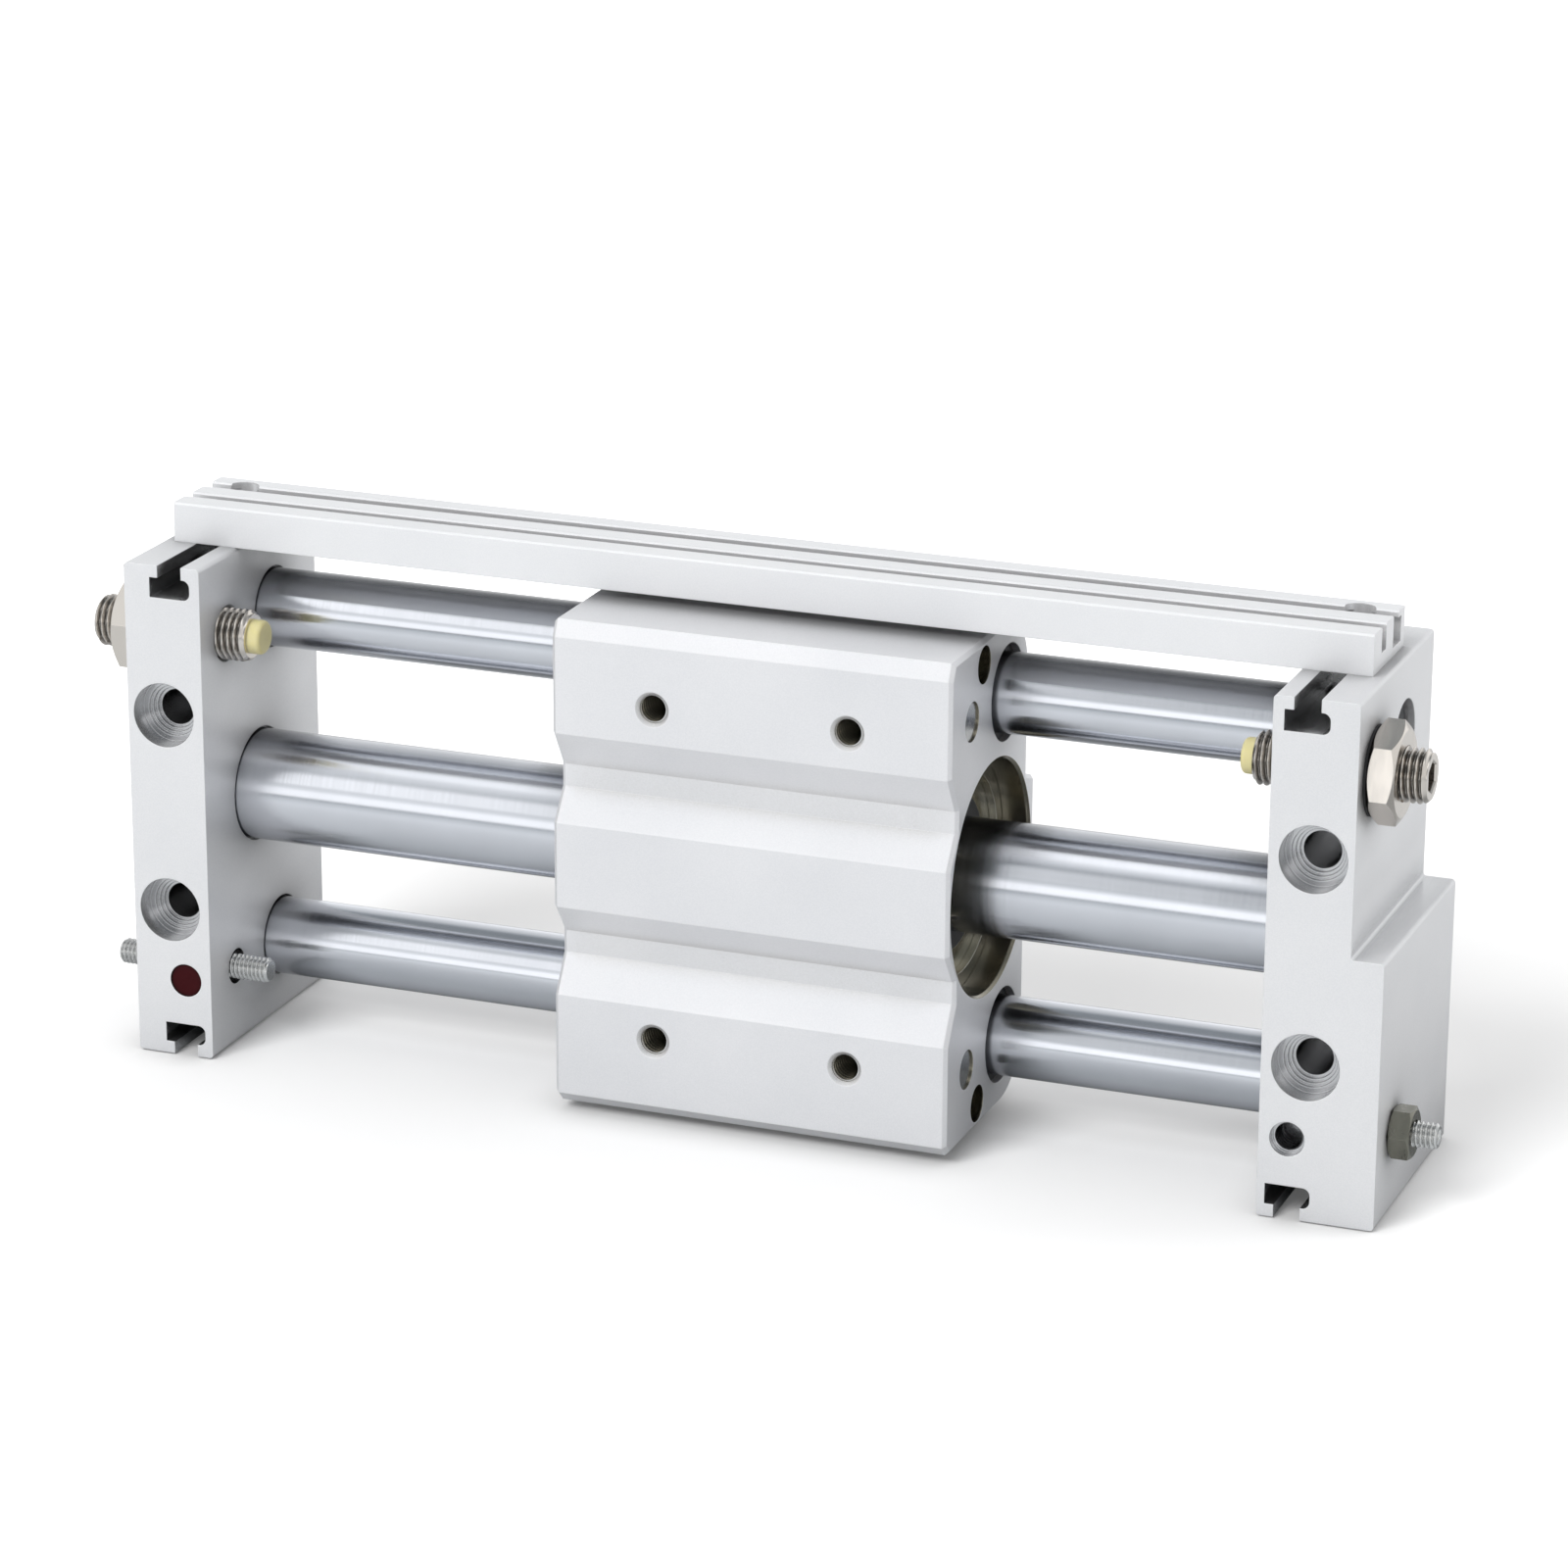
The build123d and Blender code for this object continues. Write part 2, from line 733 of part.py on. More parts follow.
def piston_groove(side, inset, width, depth):
    x0 = core_half + piston_length - inset
    return tube_along_x(piston_radius + 1, piston_radius - depth, side * x0, side * (x0 - width), tube_y, 0)


def pistons():
    def piston(side):
        body = tube_along_x(
            piston_radius, shaft_radius + seat_gap, side * core_half, side * piston_end, tube_y, 0
        )
        body -= piston_groove(side, piston_seal_inset, piston_seal_width, piston_seal_depth)
        return body - piston_groove(side, piston_band_inset, piston_band_width, piston_band_depth)

    return mirrored_pair(piston)


def piston_rings(inset, width, depth):
    outer = tube_bore - running_gap
    inner = piston_radius - depth + seat_gap

    def band(side):
        x0 = piston_end - inset - seat_gap
        x1 = piston_end - inset - width + seat_gap
        return tube_along_x(outer, inner, side * x0, side * x1, tube_y, 0)

    return mirrored_pair(band)


def piston_bumpers():
    def bumper(side):
        end = piston_end + bumper_length
        return tube_along_x(
            bumper_radius, shaft_radius + seat_gap, side * piston_end, side * end, tube_y, 0
        )

    return mirrored_pair(bumper)


def piston_nuts():
    def nut(side):
        seat = piston_end + bumper_length
        x0 = min(side * seat, side * (seat + piston_nut_height))
        bore = shaft_radius + seat_gap
        return hex_nut(piston_nut_flats, piston_nut_height, bore, x0, tube_y, 0, piston_nut_turn)

    return mirrored_pair(nut)


def piston_shaft():
    half = piston_end + bumper_length + piston_nut_height
    return along_block(rod_along_x(shaft_radius, -half, half, tube_y, 0))


def rail_section():
    # section of the rail in Y and Z, from its front foot and back round over the top
    front = front_y + rail_front
    slot_front = front + rail_front_wall
    slot_back = slot_front + rail_slot
    channel_front = slot_back + rail_middle_wall
    channel_back = channel_front + rail_channel
    back = channel_back + rail_back_wall
    top = top_z + rail_height
    lip_front = channel_back - rail_lip_reach
    lip_under = top - rail_lip_height
    slot_floor = top_z + rail_slot_floor
    channel_floor = top_z + rail_channel_floor
    outline = [
        (front, top_z),
        (front, top),
        (slot_front, top),
        (slot_front, slot_floor),
        (slot_back, slot_floor),
        (slot_back, top),
        (channel_front, top),
        (channel_front, channel_floor),
        (channel_back, channel_floor),
        (channel_back, lip_under),
        (lip_front, lip_under),
        (lip_front, top),
        (back, top),
        (back, top_z),
    ]
    section = make_face(Polyline(*outline, close=True))
    upper = [v for v in section.vertices() if v.Y > top - 0.01]
    return chamfer(upper, rail_edge)


def rail_hole_y():
    return front_y + rail_front + rail_front_wall + rail_slot + rail_middle_wall + rail_channel / 2


def rail_fixing_x(side):
    return side * (inner_x + slot_inset)


def sensor_rail():
    half = outer_x - rail_end_inset
    rail = Pos(-half, 0, 0) * extrude(Plane.YZ * rail_section(), 2 * half)
    floor = top_z + rail_channel_floor
    for side in (-1, 1):
        x = rail_fixing_x(side)
        rail -= rod_along_z(rail_screw_radius + seat_gap, top_z, floor, x, rail_hole_y())
        rail -= rod_along_z(rail_pocket_radius, floor, top_z + 2 * rail_height, x, rail_hole_y())
    return rail


def rail_screws():
    floor = top_z + rail_channel_floor
    head_top = floor + rail_screw_head_height
    tip = top_z - slot_depth + free_gap
    screws = []
    for side in (-1, 1):
        x = rail_fixing_x(side)
        head = rod_along_z(rail_screw_head_radius, floor, head_top, x, rail_hole_y())
        head = fillet(head.edges().filter_by(GeomType.CIRCLE).sort_by(Axis.Z)[-1], rail_edge)
        shank = rod_along_z(rail_screw_radius - thread_gap, tip, floor, x, rail_hole_y())
        cross = Box(2 * rail_screw_head_radius * 0.6, rail_screw_cross / 2, rail_screw_cross)
        place = Pos(x, rail_hole_y(), head_top - rail_screw_cross / 2)
        screws += [head + shank - place * cross - place * Rot(0, 0, 90) * cross]
    return screws


def rail_slot_nuts():
    # each nut has the slot's own round corner, so that it bears on both lips
    nuts = []
    nut_top = top_z - slot_lip
    corner = slot_round - (slot_width - rail_nut_side) / 2
    for side in (-1, 1):
        x = rail_fixing_x(side)
        section = Pos(x, nut_top - rail_nut_height / 2) * Rectangle(rail_nut_side, rail_nut_height)
        section = fillet(section.vertices().sort_by(Axis.Y)[-2:].sort_by(Axis.X)[-1], corner)
        nut = extrude(Plane((0, rail_hole_y(), 0), (1, 0, 0), (0, -1, 0)) * section, rail_nut_side / 2, both=True)
        nuts += [nut - rod_along_z(rail_screw_radius, nut_top - rail_nut_height, nut_top, x, rail_hole_y())]
    return nuts


nodes = {
    "left_end_plate": end_plate(-1),
    "right_end_plate": end_plate(1),
    "cylinder_tube": cylinder_tube(),
    "tube_end_seals": tube_end_seals(),
    "upper_guide_rod": guide_rod(rod_z, rod_seat, True),
    "lower_guide_rod": guide_rod(-rod_z, blind_rod_seat, False),
    "guide_rod_screws": guide_rod_screws(),
    "rod_set_screw": rod_set_screw(),
    "left_lock_nut": lock_nut(-1, left_nut_turn),
    "right_lock_nut": lock_nut(1, right_nut_turn),
    "lock_nut_seal": lock_nut_seal(),
    "stop_bolt_nut": stop_nut(),
    "port_plug": port_plug(),
    "sensor_rail": sensor_rail(),
    "rail_screws": rail_screws(),
    "rail_slot_nuts": rail_slot_nuts(),
    "slide_block": slide_block(),
    "upper_guide_bushes": guide_bushes(rod_z),
    "lower_guide_bushes": guide_bushes(-rod_z),
    "upper_rod_wipers": rod_wipers(rod_z),
    "lower_rod_wipers": rod_wipers(-rod_z),
    "strike_pins": strike_pins(),
    "sensor_magnets": sensor_magnets(),
    "snap_rings": snap_rings(),
    "magnet_holders": magnet_holders(),
    "tube_wipers": tube_wipers(),
    "slider_wear_rings": slider_wear_rings(),
    "slider_yokes": slider_yokes(),
    "slider_magnets": slider_magnets(),
    "piston_shaft": piston_shaft(),
    "piston_yokes": piston_yokes(),
    "piston_magnets": piston_magnets(),
    "pistons": pistons(),
    "piston_seals": piston_rings(piston_seal_inset, piston_seal_width, piston_seal_depth),
    "piston_wear_rings": piston_rings(piston_band_inset, piston_band_width, piston_band_depth),
    "piston_bumpers": piston_bumpers(),
    "piston_nuts": piston_nuts(),
    "left_adjusting_bolt": adjusting_bolt(-1),
    "left_bolt_tip": bolt_tip(-1),
    "right_adjusting_bolt": adjusting_bolt(1),
    "right_bolt_tip": bolt_tip(1),
    "left_stop_bolt": stop_bolt(-1, left_stop_reach),
    "right_stop_bolt": stop_bolt(1, right_stop_reach),
}

for name, piece in nodes.items():
    shape = Compound(children=piece) if isinstance(piece, list) else piece
    export_step(shape, f"parts/{name}.step")
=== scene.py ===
# Magnetic rodless cylinder: finishes, threads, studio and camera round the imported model
import math

import bpy
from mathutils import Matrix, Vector


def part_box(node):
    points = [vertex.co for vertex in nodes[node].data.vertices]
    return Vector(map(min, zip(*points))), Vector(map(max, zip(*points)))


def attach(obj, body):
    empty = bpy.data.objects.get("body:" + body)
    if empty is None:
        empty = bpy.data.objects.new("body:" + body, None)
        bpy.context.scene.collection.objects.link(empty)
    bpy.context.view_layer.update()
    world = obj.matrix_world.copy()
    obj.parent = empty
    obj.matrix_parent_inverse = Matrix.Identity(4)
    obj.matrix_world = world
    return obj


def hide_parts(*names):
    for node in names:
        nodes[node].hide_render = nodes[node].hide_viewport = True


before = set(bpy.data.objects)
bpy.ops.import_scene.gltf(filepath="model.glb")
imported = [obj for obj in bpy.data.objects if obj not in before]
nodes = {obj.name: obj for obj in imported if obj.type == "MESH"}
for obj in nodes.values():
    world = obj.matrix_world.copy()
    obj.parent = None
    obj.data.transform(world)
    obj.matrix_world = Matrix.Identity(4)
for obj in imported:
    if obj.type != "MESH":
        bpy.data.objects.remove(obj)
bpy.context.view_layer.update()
mm = 0.001
print("model loaded,", len(nodes), "nodes")


def nodeCorners(name):
    # a node's lowest and highest corner in millimetres
    return [[round(v / mm, 2) for v in corner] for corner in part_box(name)]


blockLow, blockHigh = nodeCorners("slide_block")
plateLow = nodeCorners("right_end_plate")[0]

# where the pieces stand, in millimetres in the model's frame
layout = {
    "plateInner": plateLow[0],
    "frontFace": plateLow[1],
    "floorHeight": plateLow[2],
    "blockMiddle": (blockLow[0] + blockHigh[0]) / 2,
    "boltBack": -30.2,
    "rodHeight": 26.5,
    "rodBack": -14.6,
    "tubeBack": -20.5,
}


# helpers for meshes

def ringRow(centre, radii, segments, axis=0):
    # one ring of points about a line along X (axis 0) or Y (axis 1); radii is one number or a list
    points = []
    for i in range(segments):
        angle = 2 * math.pi * i / segments
        radius = radii[i] if isinstance(radii, list) else radii
        point = list(centre)
        point[1 - axis] += radius * math.cos(angle)
        point[2] += radius * math.sin(angle)
        points.append(tuple(v * mm for v in point))
    return points


def skinRows(name, rows, closeStart=None, closeEnd=None, loop=False):
    # joins rings of equal length into one mesh, with a point at each end or as a closed loop
    segments = len(rows[0])
    points = [p for row in rows for p in row]
    faces = []
    count = len(rows)
    for j in range(count if loop else count - 1):
        a = j * segments
        b = ((j + 1) % count) * segments
        for i in range(segments):
            k = (i + 1) % segments
            faces.append((a + i, b + i, b + k, a + k))
    for end, pole in ((0, closeStart), (count - 1, closeEnd)):
        if pole is None:
            continue
        tip = len(points)
        points.append(tuple(v * mm for v in pole))
        base = end * segments
        for i in range(segments):
            k = (i + 1) % segments
            faces.append((base + i, base + k, tip) if end == 0 else (base + k, base + i, tip))
    mesh = bpy.data.meshes.new(name)
    mesh.from_pydata(points, [], faces)
    mesh.validate()
    return mesh


smoothAngle = 32
threadAngle = 40


def addPiece(name, mesh, body, material, sharpAngle=smoothAngle):
    # edges that turn by more than the sharp angle, in degrees, stay sharp
    piece = bpy.data.objects.new(name, mesh)
    bpy.context.scene.collection.objects.link(piece)
    mesh.polygons.foreach_set("use_smooth", [True] * len(mesh.polygons))
    mesh.set_sharp_from_angle(angle=math.radians(sharpAngle))
    mesh.materials.append(material)
    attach(piece, body)
    return piece


# helpers for shaders

class NodeLine:
    # a short way to add and join nodes in one tree; an input is given a socket to join or a constant
    def __init__(self, tree):
        self.tree = tree

    def put(self, value, socket):
        # constant colours are given without their alpha
        if isinstance(value, bpy.types.NodeSocket):
            self.tree.links.new(value, socket)
        elif socket.type == "RGBA":
            socket.default_value = (*value, 1.0)
        else:
            socket.default_value = value

    def add(self, kind, inputs=None, **settings):
        node = self.tree.nodes.new(kind)
        for key, value in settings.items():
            setattr(node, key, value)
        for key, value in (inputs or {}).items():
            self.put(value, node.inputs[key])
        return node

    def use(self, group, inputs):
        return self.add("ShaderNodeGroup", inputs, node_tree=group).outputs

    def number(self, operation, *values):
        return self.add("ShaderNodeMath", dict(enumerate(values)), operation=operation).outputs[0]

    def vector(self, operation, *values):
        # outputs "Vector" and "Value"
        return self.add("ShaderNodeVectorMath", dict(enumerate(values)), operation=operation).outputs

    def split(self, vector):
        return self.add("ShaderNodeSeparateXYZ", {0: vector}).outputs

    def mapTo(self, value, low, high, fromLow=0.0, fromHigh=1.0):
        ends = {"From Min": fromLow, "From Max": fromHigh, "To Min": low, "To Max": high}
        return self.add("ShaderNodeMapRange", {"Value": value, **ends}).outputs[0]

    def mixColour(self, factor, low, high):
        return self.add("ShaderNodeMix", {0: factor, 6: low, 7: high}, data_type="RGBA").outputs[2]


def newGroup(name, inputs, outputs):
    # gives the group, its line, and the sockets that it starts from and ends in
    group = bpy.data.node_groups.new(name, "ShaderNodeTree")
    for label, kind, value in inputs:
        socket = group.interface.new_socket(name=label, in_out="INPUT", socket_type=kind)
        if value is not None:
            socket.default_value = value
    for label, kind in outputs:
        group.interface.new_socket(name=label, in_out="OUTPUT", socket_type=kind)
    line = NodeLine(group)
    return group, line, line.add("NodeGroupInput").outputs, line.add("NodeGroupOutput").inputs


def newMaterial(name):
    material = bpy.data.materials.new(name)
    material.use_nodes = True
    material.node_tree.nodes.clear()
    line = NodeLine(material.node_tree)
    shader = line.add("ShaderNodeBsdfPrincipled")
    line.add("ShaderNodeOutputMaterial", {"Surface": shader.outputs[0]})
    return material, line, shader.inputs


# shared shader groups; lengths are in millimetres and occlusion runs from 0, closed in, to 1, open

grainDetail = {"Height": 2.0, "Tone": 3.0}
streakDetail = 3.0
softEdge = {"radius": 0.25, "samples": 6, "turnedFrom": 0.995, "turnedTo": 0.90}
hollowShade = {
    "reach": 8.0,
    "shade": (0.46, 0.18),
    "inside": (0.84, 0.66),
    "contactReach": 12.0,
    "contact": (0.05, 0.50),
    "samples": 8,
    "frontNormal": (-1.0, -0.2),
    "floorShare": 0.33,
    "floorReach": 14.0,
}


def makeGrainGroup():
    # fine even grain of a blasted and anodised surface, with slow changes of tone
    group, line, given, result = newGroup(
        "blastGrain",
        [("Grain Size", "NodeSocketFloat", 0.25), ("Tone Size", "NodeSocketFloat", 18.0)],
        [("Height", "NodeSocketFloat"), ("Tone", "NodeSocketFloat")],
    )
    coords = line.add("ShaderNodeTexCoord").outputs["Object"]
    for size, label in (("Grain Size", "Height"), ("Tone Size", "Tone")):
        scale = line.number("DIVIDE", 1 / mm, given[size])
        look = {"Vector": coords, "Scale": scale, "Detail": grainDetail[label]}
        line.put(line.add("ShaderNodeTexNoise", look).outputs["Fac"], result[label])
    return group


def makeStreakGroup():
    # fine lines along X or round it, as left by drawing, turning or grinding
    group, line, given, result = newGroup(
        "streaks",
        [("Along", "NodeSocketFloat", 1.0), ("Across", "NodeSocketFloat", 1.0)],
        [("Height", "NodeSocketFloat")],
    )
    coords = line.add("ShaderNodeTexCoord").outputs["Object"]
    axes = {"X": given["Along"], "Y": given["Across"], "Z": given["Across"]}
    stretched = line.vector("MULTIPLY", coords, line.add("ShaderNodeCombineXYZ", axes).outputs[0])
    look = {"Vector": stretched["Vector"], "Scale": 1.0, "Detail": streakDetail}
    line.put(line.add("ShaderNodeTexNoise", look).outputs["Fac"], result["Height"])
    return group


def makeEdgeGroup():
    # rounds the look of sharp edges and gives a mask that is bright along them
    group, line, given, result = newGroup(
        "softEdge",
        [("Radius", "NodeSocketFloat", softEdge["radius"])],
        [("Normal", "NodeSocketVector"), ("Edge", "NodeSocketFloat")],
    )
    radius = line.number("MULTIPLY", given["Radius"], mm)
    rounded = line.add("ShaderNodeBevel", {"Radius": radius}, samples=softEdge["samples"]).outputs[0]
    flat = line.add("ShaderNodeNewGeometry").outputs["Normal"]
    turned = line.vector("DOT_PRODUCT", rounded, flat)["Value"]
    line.put(rounded, result["Normal"])
    line.put(line.mapTo(turned, 0.0, 1.0, softEdge["turnedFrom"], softEdge["turnedTo"]), result["Edge"])
    return group


def makeHollowGroup():
    # Shade marks painted shade in deep slots, holes and thread roots, and Inside the walls of hollows:
    # both come from the piece's own shape. Contact marks painted shade where other pieces cover. Faces
    # towards the lit front keep only Front Share of it, and places next to the pale floor a third
    group, line, given, result = newGroup(
        "hollowShade",
        [
            ("Reach", "NodeSocketFloat", hollowShade["reach"]),
            ("Shade From", "NodeSocketFloat", hollowShade["shade"][0]),
            ("Shade To", "NodeSocketFloat", hollowShade["shade"][1]),
            ("Contact Reach", "NodeSocketFloat", hollowShade["contactReach"]),
            ("Front Share", "NodeSocketFloat", 0.0),
        ],
        [("Shade", "NodeSocketFloat"), ("Inside", "NodeSocketFloat"), ("Contact", "NodeSocketFloat")],
    )

    def openness(label, **settings):
        reach = {"Distance": line.number("MULTIPLY", given[label], mm)}
        settings["samples"] = hollowShade["samples"]
        return line.add("ShaderNodeAmbientOcclusion", reach, **settings).outputs["AO"]

    own = openness("Reach", only_local=True)
    covered = line.number("SUBTRACT", own, openness("Contact Reach"))
    geometry = line.add("ShaderNodeNewGeometry").outputs
    facing = line.split(geometry["Normal"])["Y"]
    height = line.split(geometry["Position"])["Z"]
    floor = layout["floorHeight"] * mm
    floorEnd = floor + hollowShade["floorReach"] * mm
    unlit = line.mapTo(facing, given["Front Share"], 1.0, *hollowShade["frontNormal"])
    aboveFloor = line.mapTo(height, hollowShade["floorShare"], 1.0, floor, floorEnd)
    kept = line.number("MULTIPLY", unlit, aboveFloor)
    contact = line.number("MULTIPLY", line.mapTo(covered, 0.0, 1.0, *hollowShade["contact"]), kept)
    line.put(line.mapTo(own, 0.0, 1.0, given["Shade From"], given["Shade To"]), result["Shade"])
    line.put(line.mapTo(own, 0.0, 1.0, *hollowShade["inside"]), result["Inside"])
    line.put(contact, result["Contact"])
    return group


grainGroup = makeGrainGroup()
streakGroup = makeStreakGroup()
edgeGroup = makeEdgeGroup()
hollowGroup = makeHollowGroup()
print("shader groups made")


# anodised aluminium of the plates, the block and the rail

aluminium = {
    "grain": {"Grain Size": 0.22, "Tone Size": 22.0},
    "toneSpan": (0.35, 0.65),
    # the edges' tone: worn edges, and in part a painted highlight
    "cutTone": (0.90, 0.90, 0.91),
    # tone of the painted shade under other pieces
    "contactShadeTone": (0.03, 0.03, 0.03),
    "roughness": (0.38, 0.52),
    "insideRoughness": 0.18,
    "insideMetallic": 0.95,
    "metallic": 0.55,
    "bumpDepth": 0.016,
    "bumpStrength": 0.6,
}
# inside is the tone of the walls of hollows, partly bare metal and partly painted shade; dark is the
# painted shade deep in slots and holes, and contact how strong the painted shade under other pieces is
aluminiumPieces = {
    "plate": {
        "name": "anodisedPlate",
        "tone": ((0.73, 0.735, 0.75), (0.80, 0.80, 0.81)),
        "inside": (0.66, 0.66, 0.67),
        "dark": (0.34, 0.34, 0.345),
        "edge": 0.22,
        "contact": 0.55,
    },
    "block": {
        "name": "anodisedBlock",
        "tone": ((0.73, 0.735, 0.755), (0.80, 0.80, 0.815)),
        "inside": (0.30, 0.275, 0.215),
        "dark": (0.13, 0.12, 0.092),
        "edge": 0.26,
        "contact": 0.50,
        "bore": 17.85,
    },
    "rail": {
        "name": "anodisedRail",
        "tone": ((0.81, 0.815, 0.83), (0.87, 0.87, 0.88)),
        "inside": (0.70, 0.70, 0.71),
        "insideMetallic": 0.5,
        "dark": (0.52, 0.52, 0.525),
        "edge": 0.20,
        "contact": 0.10,
        "streak": {"Along": 6.0, "Across": 900.0},
    },
}


def boreMask(line, radius):
    # 1 within a radius of the tube's axis
    coords = line.add("ShaderNodeTexCoord").outputs["Object"]
    fromAxis = line.vector("SUBTRACT", coords, (0.0, layout["tubeBack"] * mm, 0.0))["Vector"]
    flat = line.vector("MULTIPLY", fromAxis, (0.0, 1.0, 1.0))["Vector"]
    return line.number("LESS_THAN", line.vector("LENGTH", flat)["Value"], radius * mm)


def aluminiumMaterial(spec):
    # blasted outside, shiny and darker on the walls of hollows, with painted shade in deep slots and under
    # other pieces
    material, line, shader = newMaterial(spec["name"])
    grain = line.use(grainGroup, aluminium["grain"])
    edges = line.use(edgeGroup, {"Radius": spec["edge"]})
    hollows = line.use(hollowGroup, {})
    inside = hollows["Inside"]
    if "bore" in spec:
        # the bore's wall takes the walls' shiny, darker tone up to its mouth: its bare turned metal, and
        # in part painted shade
        inside = line.number("MAXIMUM", inside, boreMask(line, spec["bore"]))

    speckle = line.mapTo(grain["Height"], 0.0, 1.0, *aluminium["toneSpan"])
    slow = line.mapTo(grain["Tone"], 0.0, 1.0, *aluminium["toneSpan"])
    half = line.number("MULTIPLY", line.number("ADD", speckle, slow), 0.5)
    colour = line.mixColour(half, *spec["tone"])
    # lighter along the edges: worn edges, and in part a painted highlight
    colour = line.mixColour(edges["Edge"], colour, aluminium["cutTone"])
    # walls of hollows: bare metal, darker in part as painted shade
    colour = line.mixColour(inside, colour, spec["inside"])
    # painted shade where other pieces cover
    contact = line.number("MULTIPLY", hollows["Contact"], spec["contact"])
    colour = line.mixColour(contact, colour, aluminium["contactShadeTone"])
    # painted shade deep in slots and holes
    line.put(line.mixColour(hollows["Shade"], colour, spec["dark"]), shader["Base Color"])

    rough = line.mapTo(grain["Height"], *aluminium["roughness"])
    line.put(line.mapTo(inside, rough, aluminium["insideRoughness"]), shader["Roughness"])
    insideMetallic = spec.get("insideMetallic", aluminium["insideMetallic"])
    line.put(line.mapTo(inside, aluminium["metallic"], insideMetallic), shader["Metallic"])

    height = grain["Height"]
    if "streak" in spec:
        height = line.number("ADD", height, line.use(streakGroup, spec["streak"])["Height"])
    bumped = {
        "Height": height,
        "Distance": aluminium["bumpDepth"] * mm,
        "Strength": aluminium["bumpStrength"],
        "Normal": edges["Normal"],
    }
    line.put(line.add("ShaderNodeBump", bumped).outputs[0], shader["Normal"])
    return material


# turned, ground and plated metal. hollow is the reach, start and end of the painted shade in thread
# roots and sockets, contact the reach and strength of the painted shade beside other pieces, and along
# the blur along X that ground rods have

metal = {
    "grain": {"Grain Size": 0.5, "Tone Size": 9.0},
    "toneChange": (0.94, 1.05),
    # tones of the painted shade in thread roots and sockets, and beside other pieces
    "hollowTone": (0.03, 0.028, 0.025),
    "contactShadeTone": (0.02, 0.02, 0.022),
    "streakSpan": (0.3, 0.7),
    "bumpStrength": 0.5,
}
metalPieces = {
    "tube": {
        "name": "polishedTube", "tone": (0.74, 0.755, 0.80), "roughness": (0.17, 0.22),
        "streak": (2600.0, 60.0), "depth": 0.003, "along": 0.85, "contact": (16.0, 0.86),
    },
    "rod": {
        "name": "chromedRod", "tone": (0.74, 0.755, 0.80), "roughness": (0.15, 0.20),
        "streak": (3000.0, 50.0), "depth": 0.0025, "along": 0.85, "contact": (8.5, 0.95),
    },
    "nickel": {
        "name": "nickelSteel", "tone": (0.75, 0.70, 0.645), "roughness": (0.15, 0.27),
        "streak": (900.0, 200.0), "edge": 0.12, "depth": 0.006, "hollow": (1.4, 0.86, 0.34),
    },
    "zinc": {
        "name": "zincSteel", "tone": (0.74, 0.74, 0.73), "roughness": (0.20, 0.32),
        "streak": (700.0, 700.0), "edge": 0.08, "depth": 0.012, "hollow": (1.0, 0.70, 0.25),
    },
    "oliveSteel": {
        "name": "oliveSteel", "tone": (0.25, 0.245, 0.205), "roughness": (0.24, 0.38),
        "streak": (700.0, 300.0), "edge": 0.10, "depth": 0.010, "hollow": (1.0, 0.60, 0.20),
    },
    # the port's thread is darker than the plate: painted shade deep in the hole
    "portThread": {
        "name": "tappedPort", "tone": (0.17, 0.17, 0.175), "roughness": (0.20, 0.32),
        "streak": (500.0, 500.0), "depth": 0.008,
    },
    "blackSteel": {
        "name": "blackSteel", "tone": (0.045, 0.045, 0.047), "roughness": (0.32, 0.48),
        "streak": (500.0, 500.0), "edge": 0.10, "depth": 0.010, "metallic": 0.7,
    },
    "springSteel": {
        "name": "springSteel", "tone": (0.72, 0.70, 0.64), "roughness": (0.12, 0.22),
        "streak": (400.0, 400.0), "edge": 0.12, "depth": 0.010,
    },
    "pinSteel": {
        "name": "groundPin", "tone": (0.46, 0.46, 0.46), "roughness": (0.16, 0.26),
        "streak": (300.0, 900.0), "edge": 0.12, "depth": 0.008,
    },
    "yoke": {
        "name": "turnedSteel", "tone": (0.52, 0.51, 0.49), "roughness": (0.28, 0.42),
        "streak": (200.0, 1500.0), "edge": 0.12, "depth": 0.010,
    },
    "magnet": {
        "name": "magnetAlloy", "tone": (0.15, 0.145, 0.10), "roughness": (0.22, 0.34),
        "streak": (600.0, 600.0), "edge": 0.10, "depth": 0.012, "metallic": 0.9,
    },
    "holder": {
        "name": "holderRing", "tone": (0.34, 0.315, 0.24), "roughness": (0.14, 0.26),
        "streak": (250.0, 1200.0), "edge": 0.12, "depth": 0.010,
    },
    "bronze": {
        "name": "sinteredBronze", "tone": (0.50, 0.36, 0.20), "roughness": (0.40, 0.55),
        "streak": (900.0, 900.0), "edge": 0.10, "depth": 0.015,
    },
    "pistonAlloy": {
        "name": "turnedPiston", "tone": (0.78, 0.78, 0.79), "roughness": (0.25, 0.35),
        "streak": (300.0, 1500.0), "edge": 0.12, "depth": 0.008,
    },
}


def scaled(tone, share):
    return tuple(min(1.0, v * share) for v in tone)


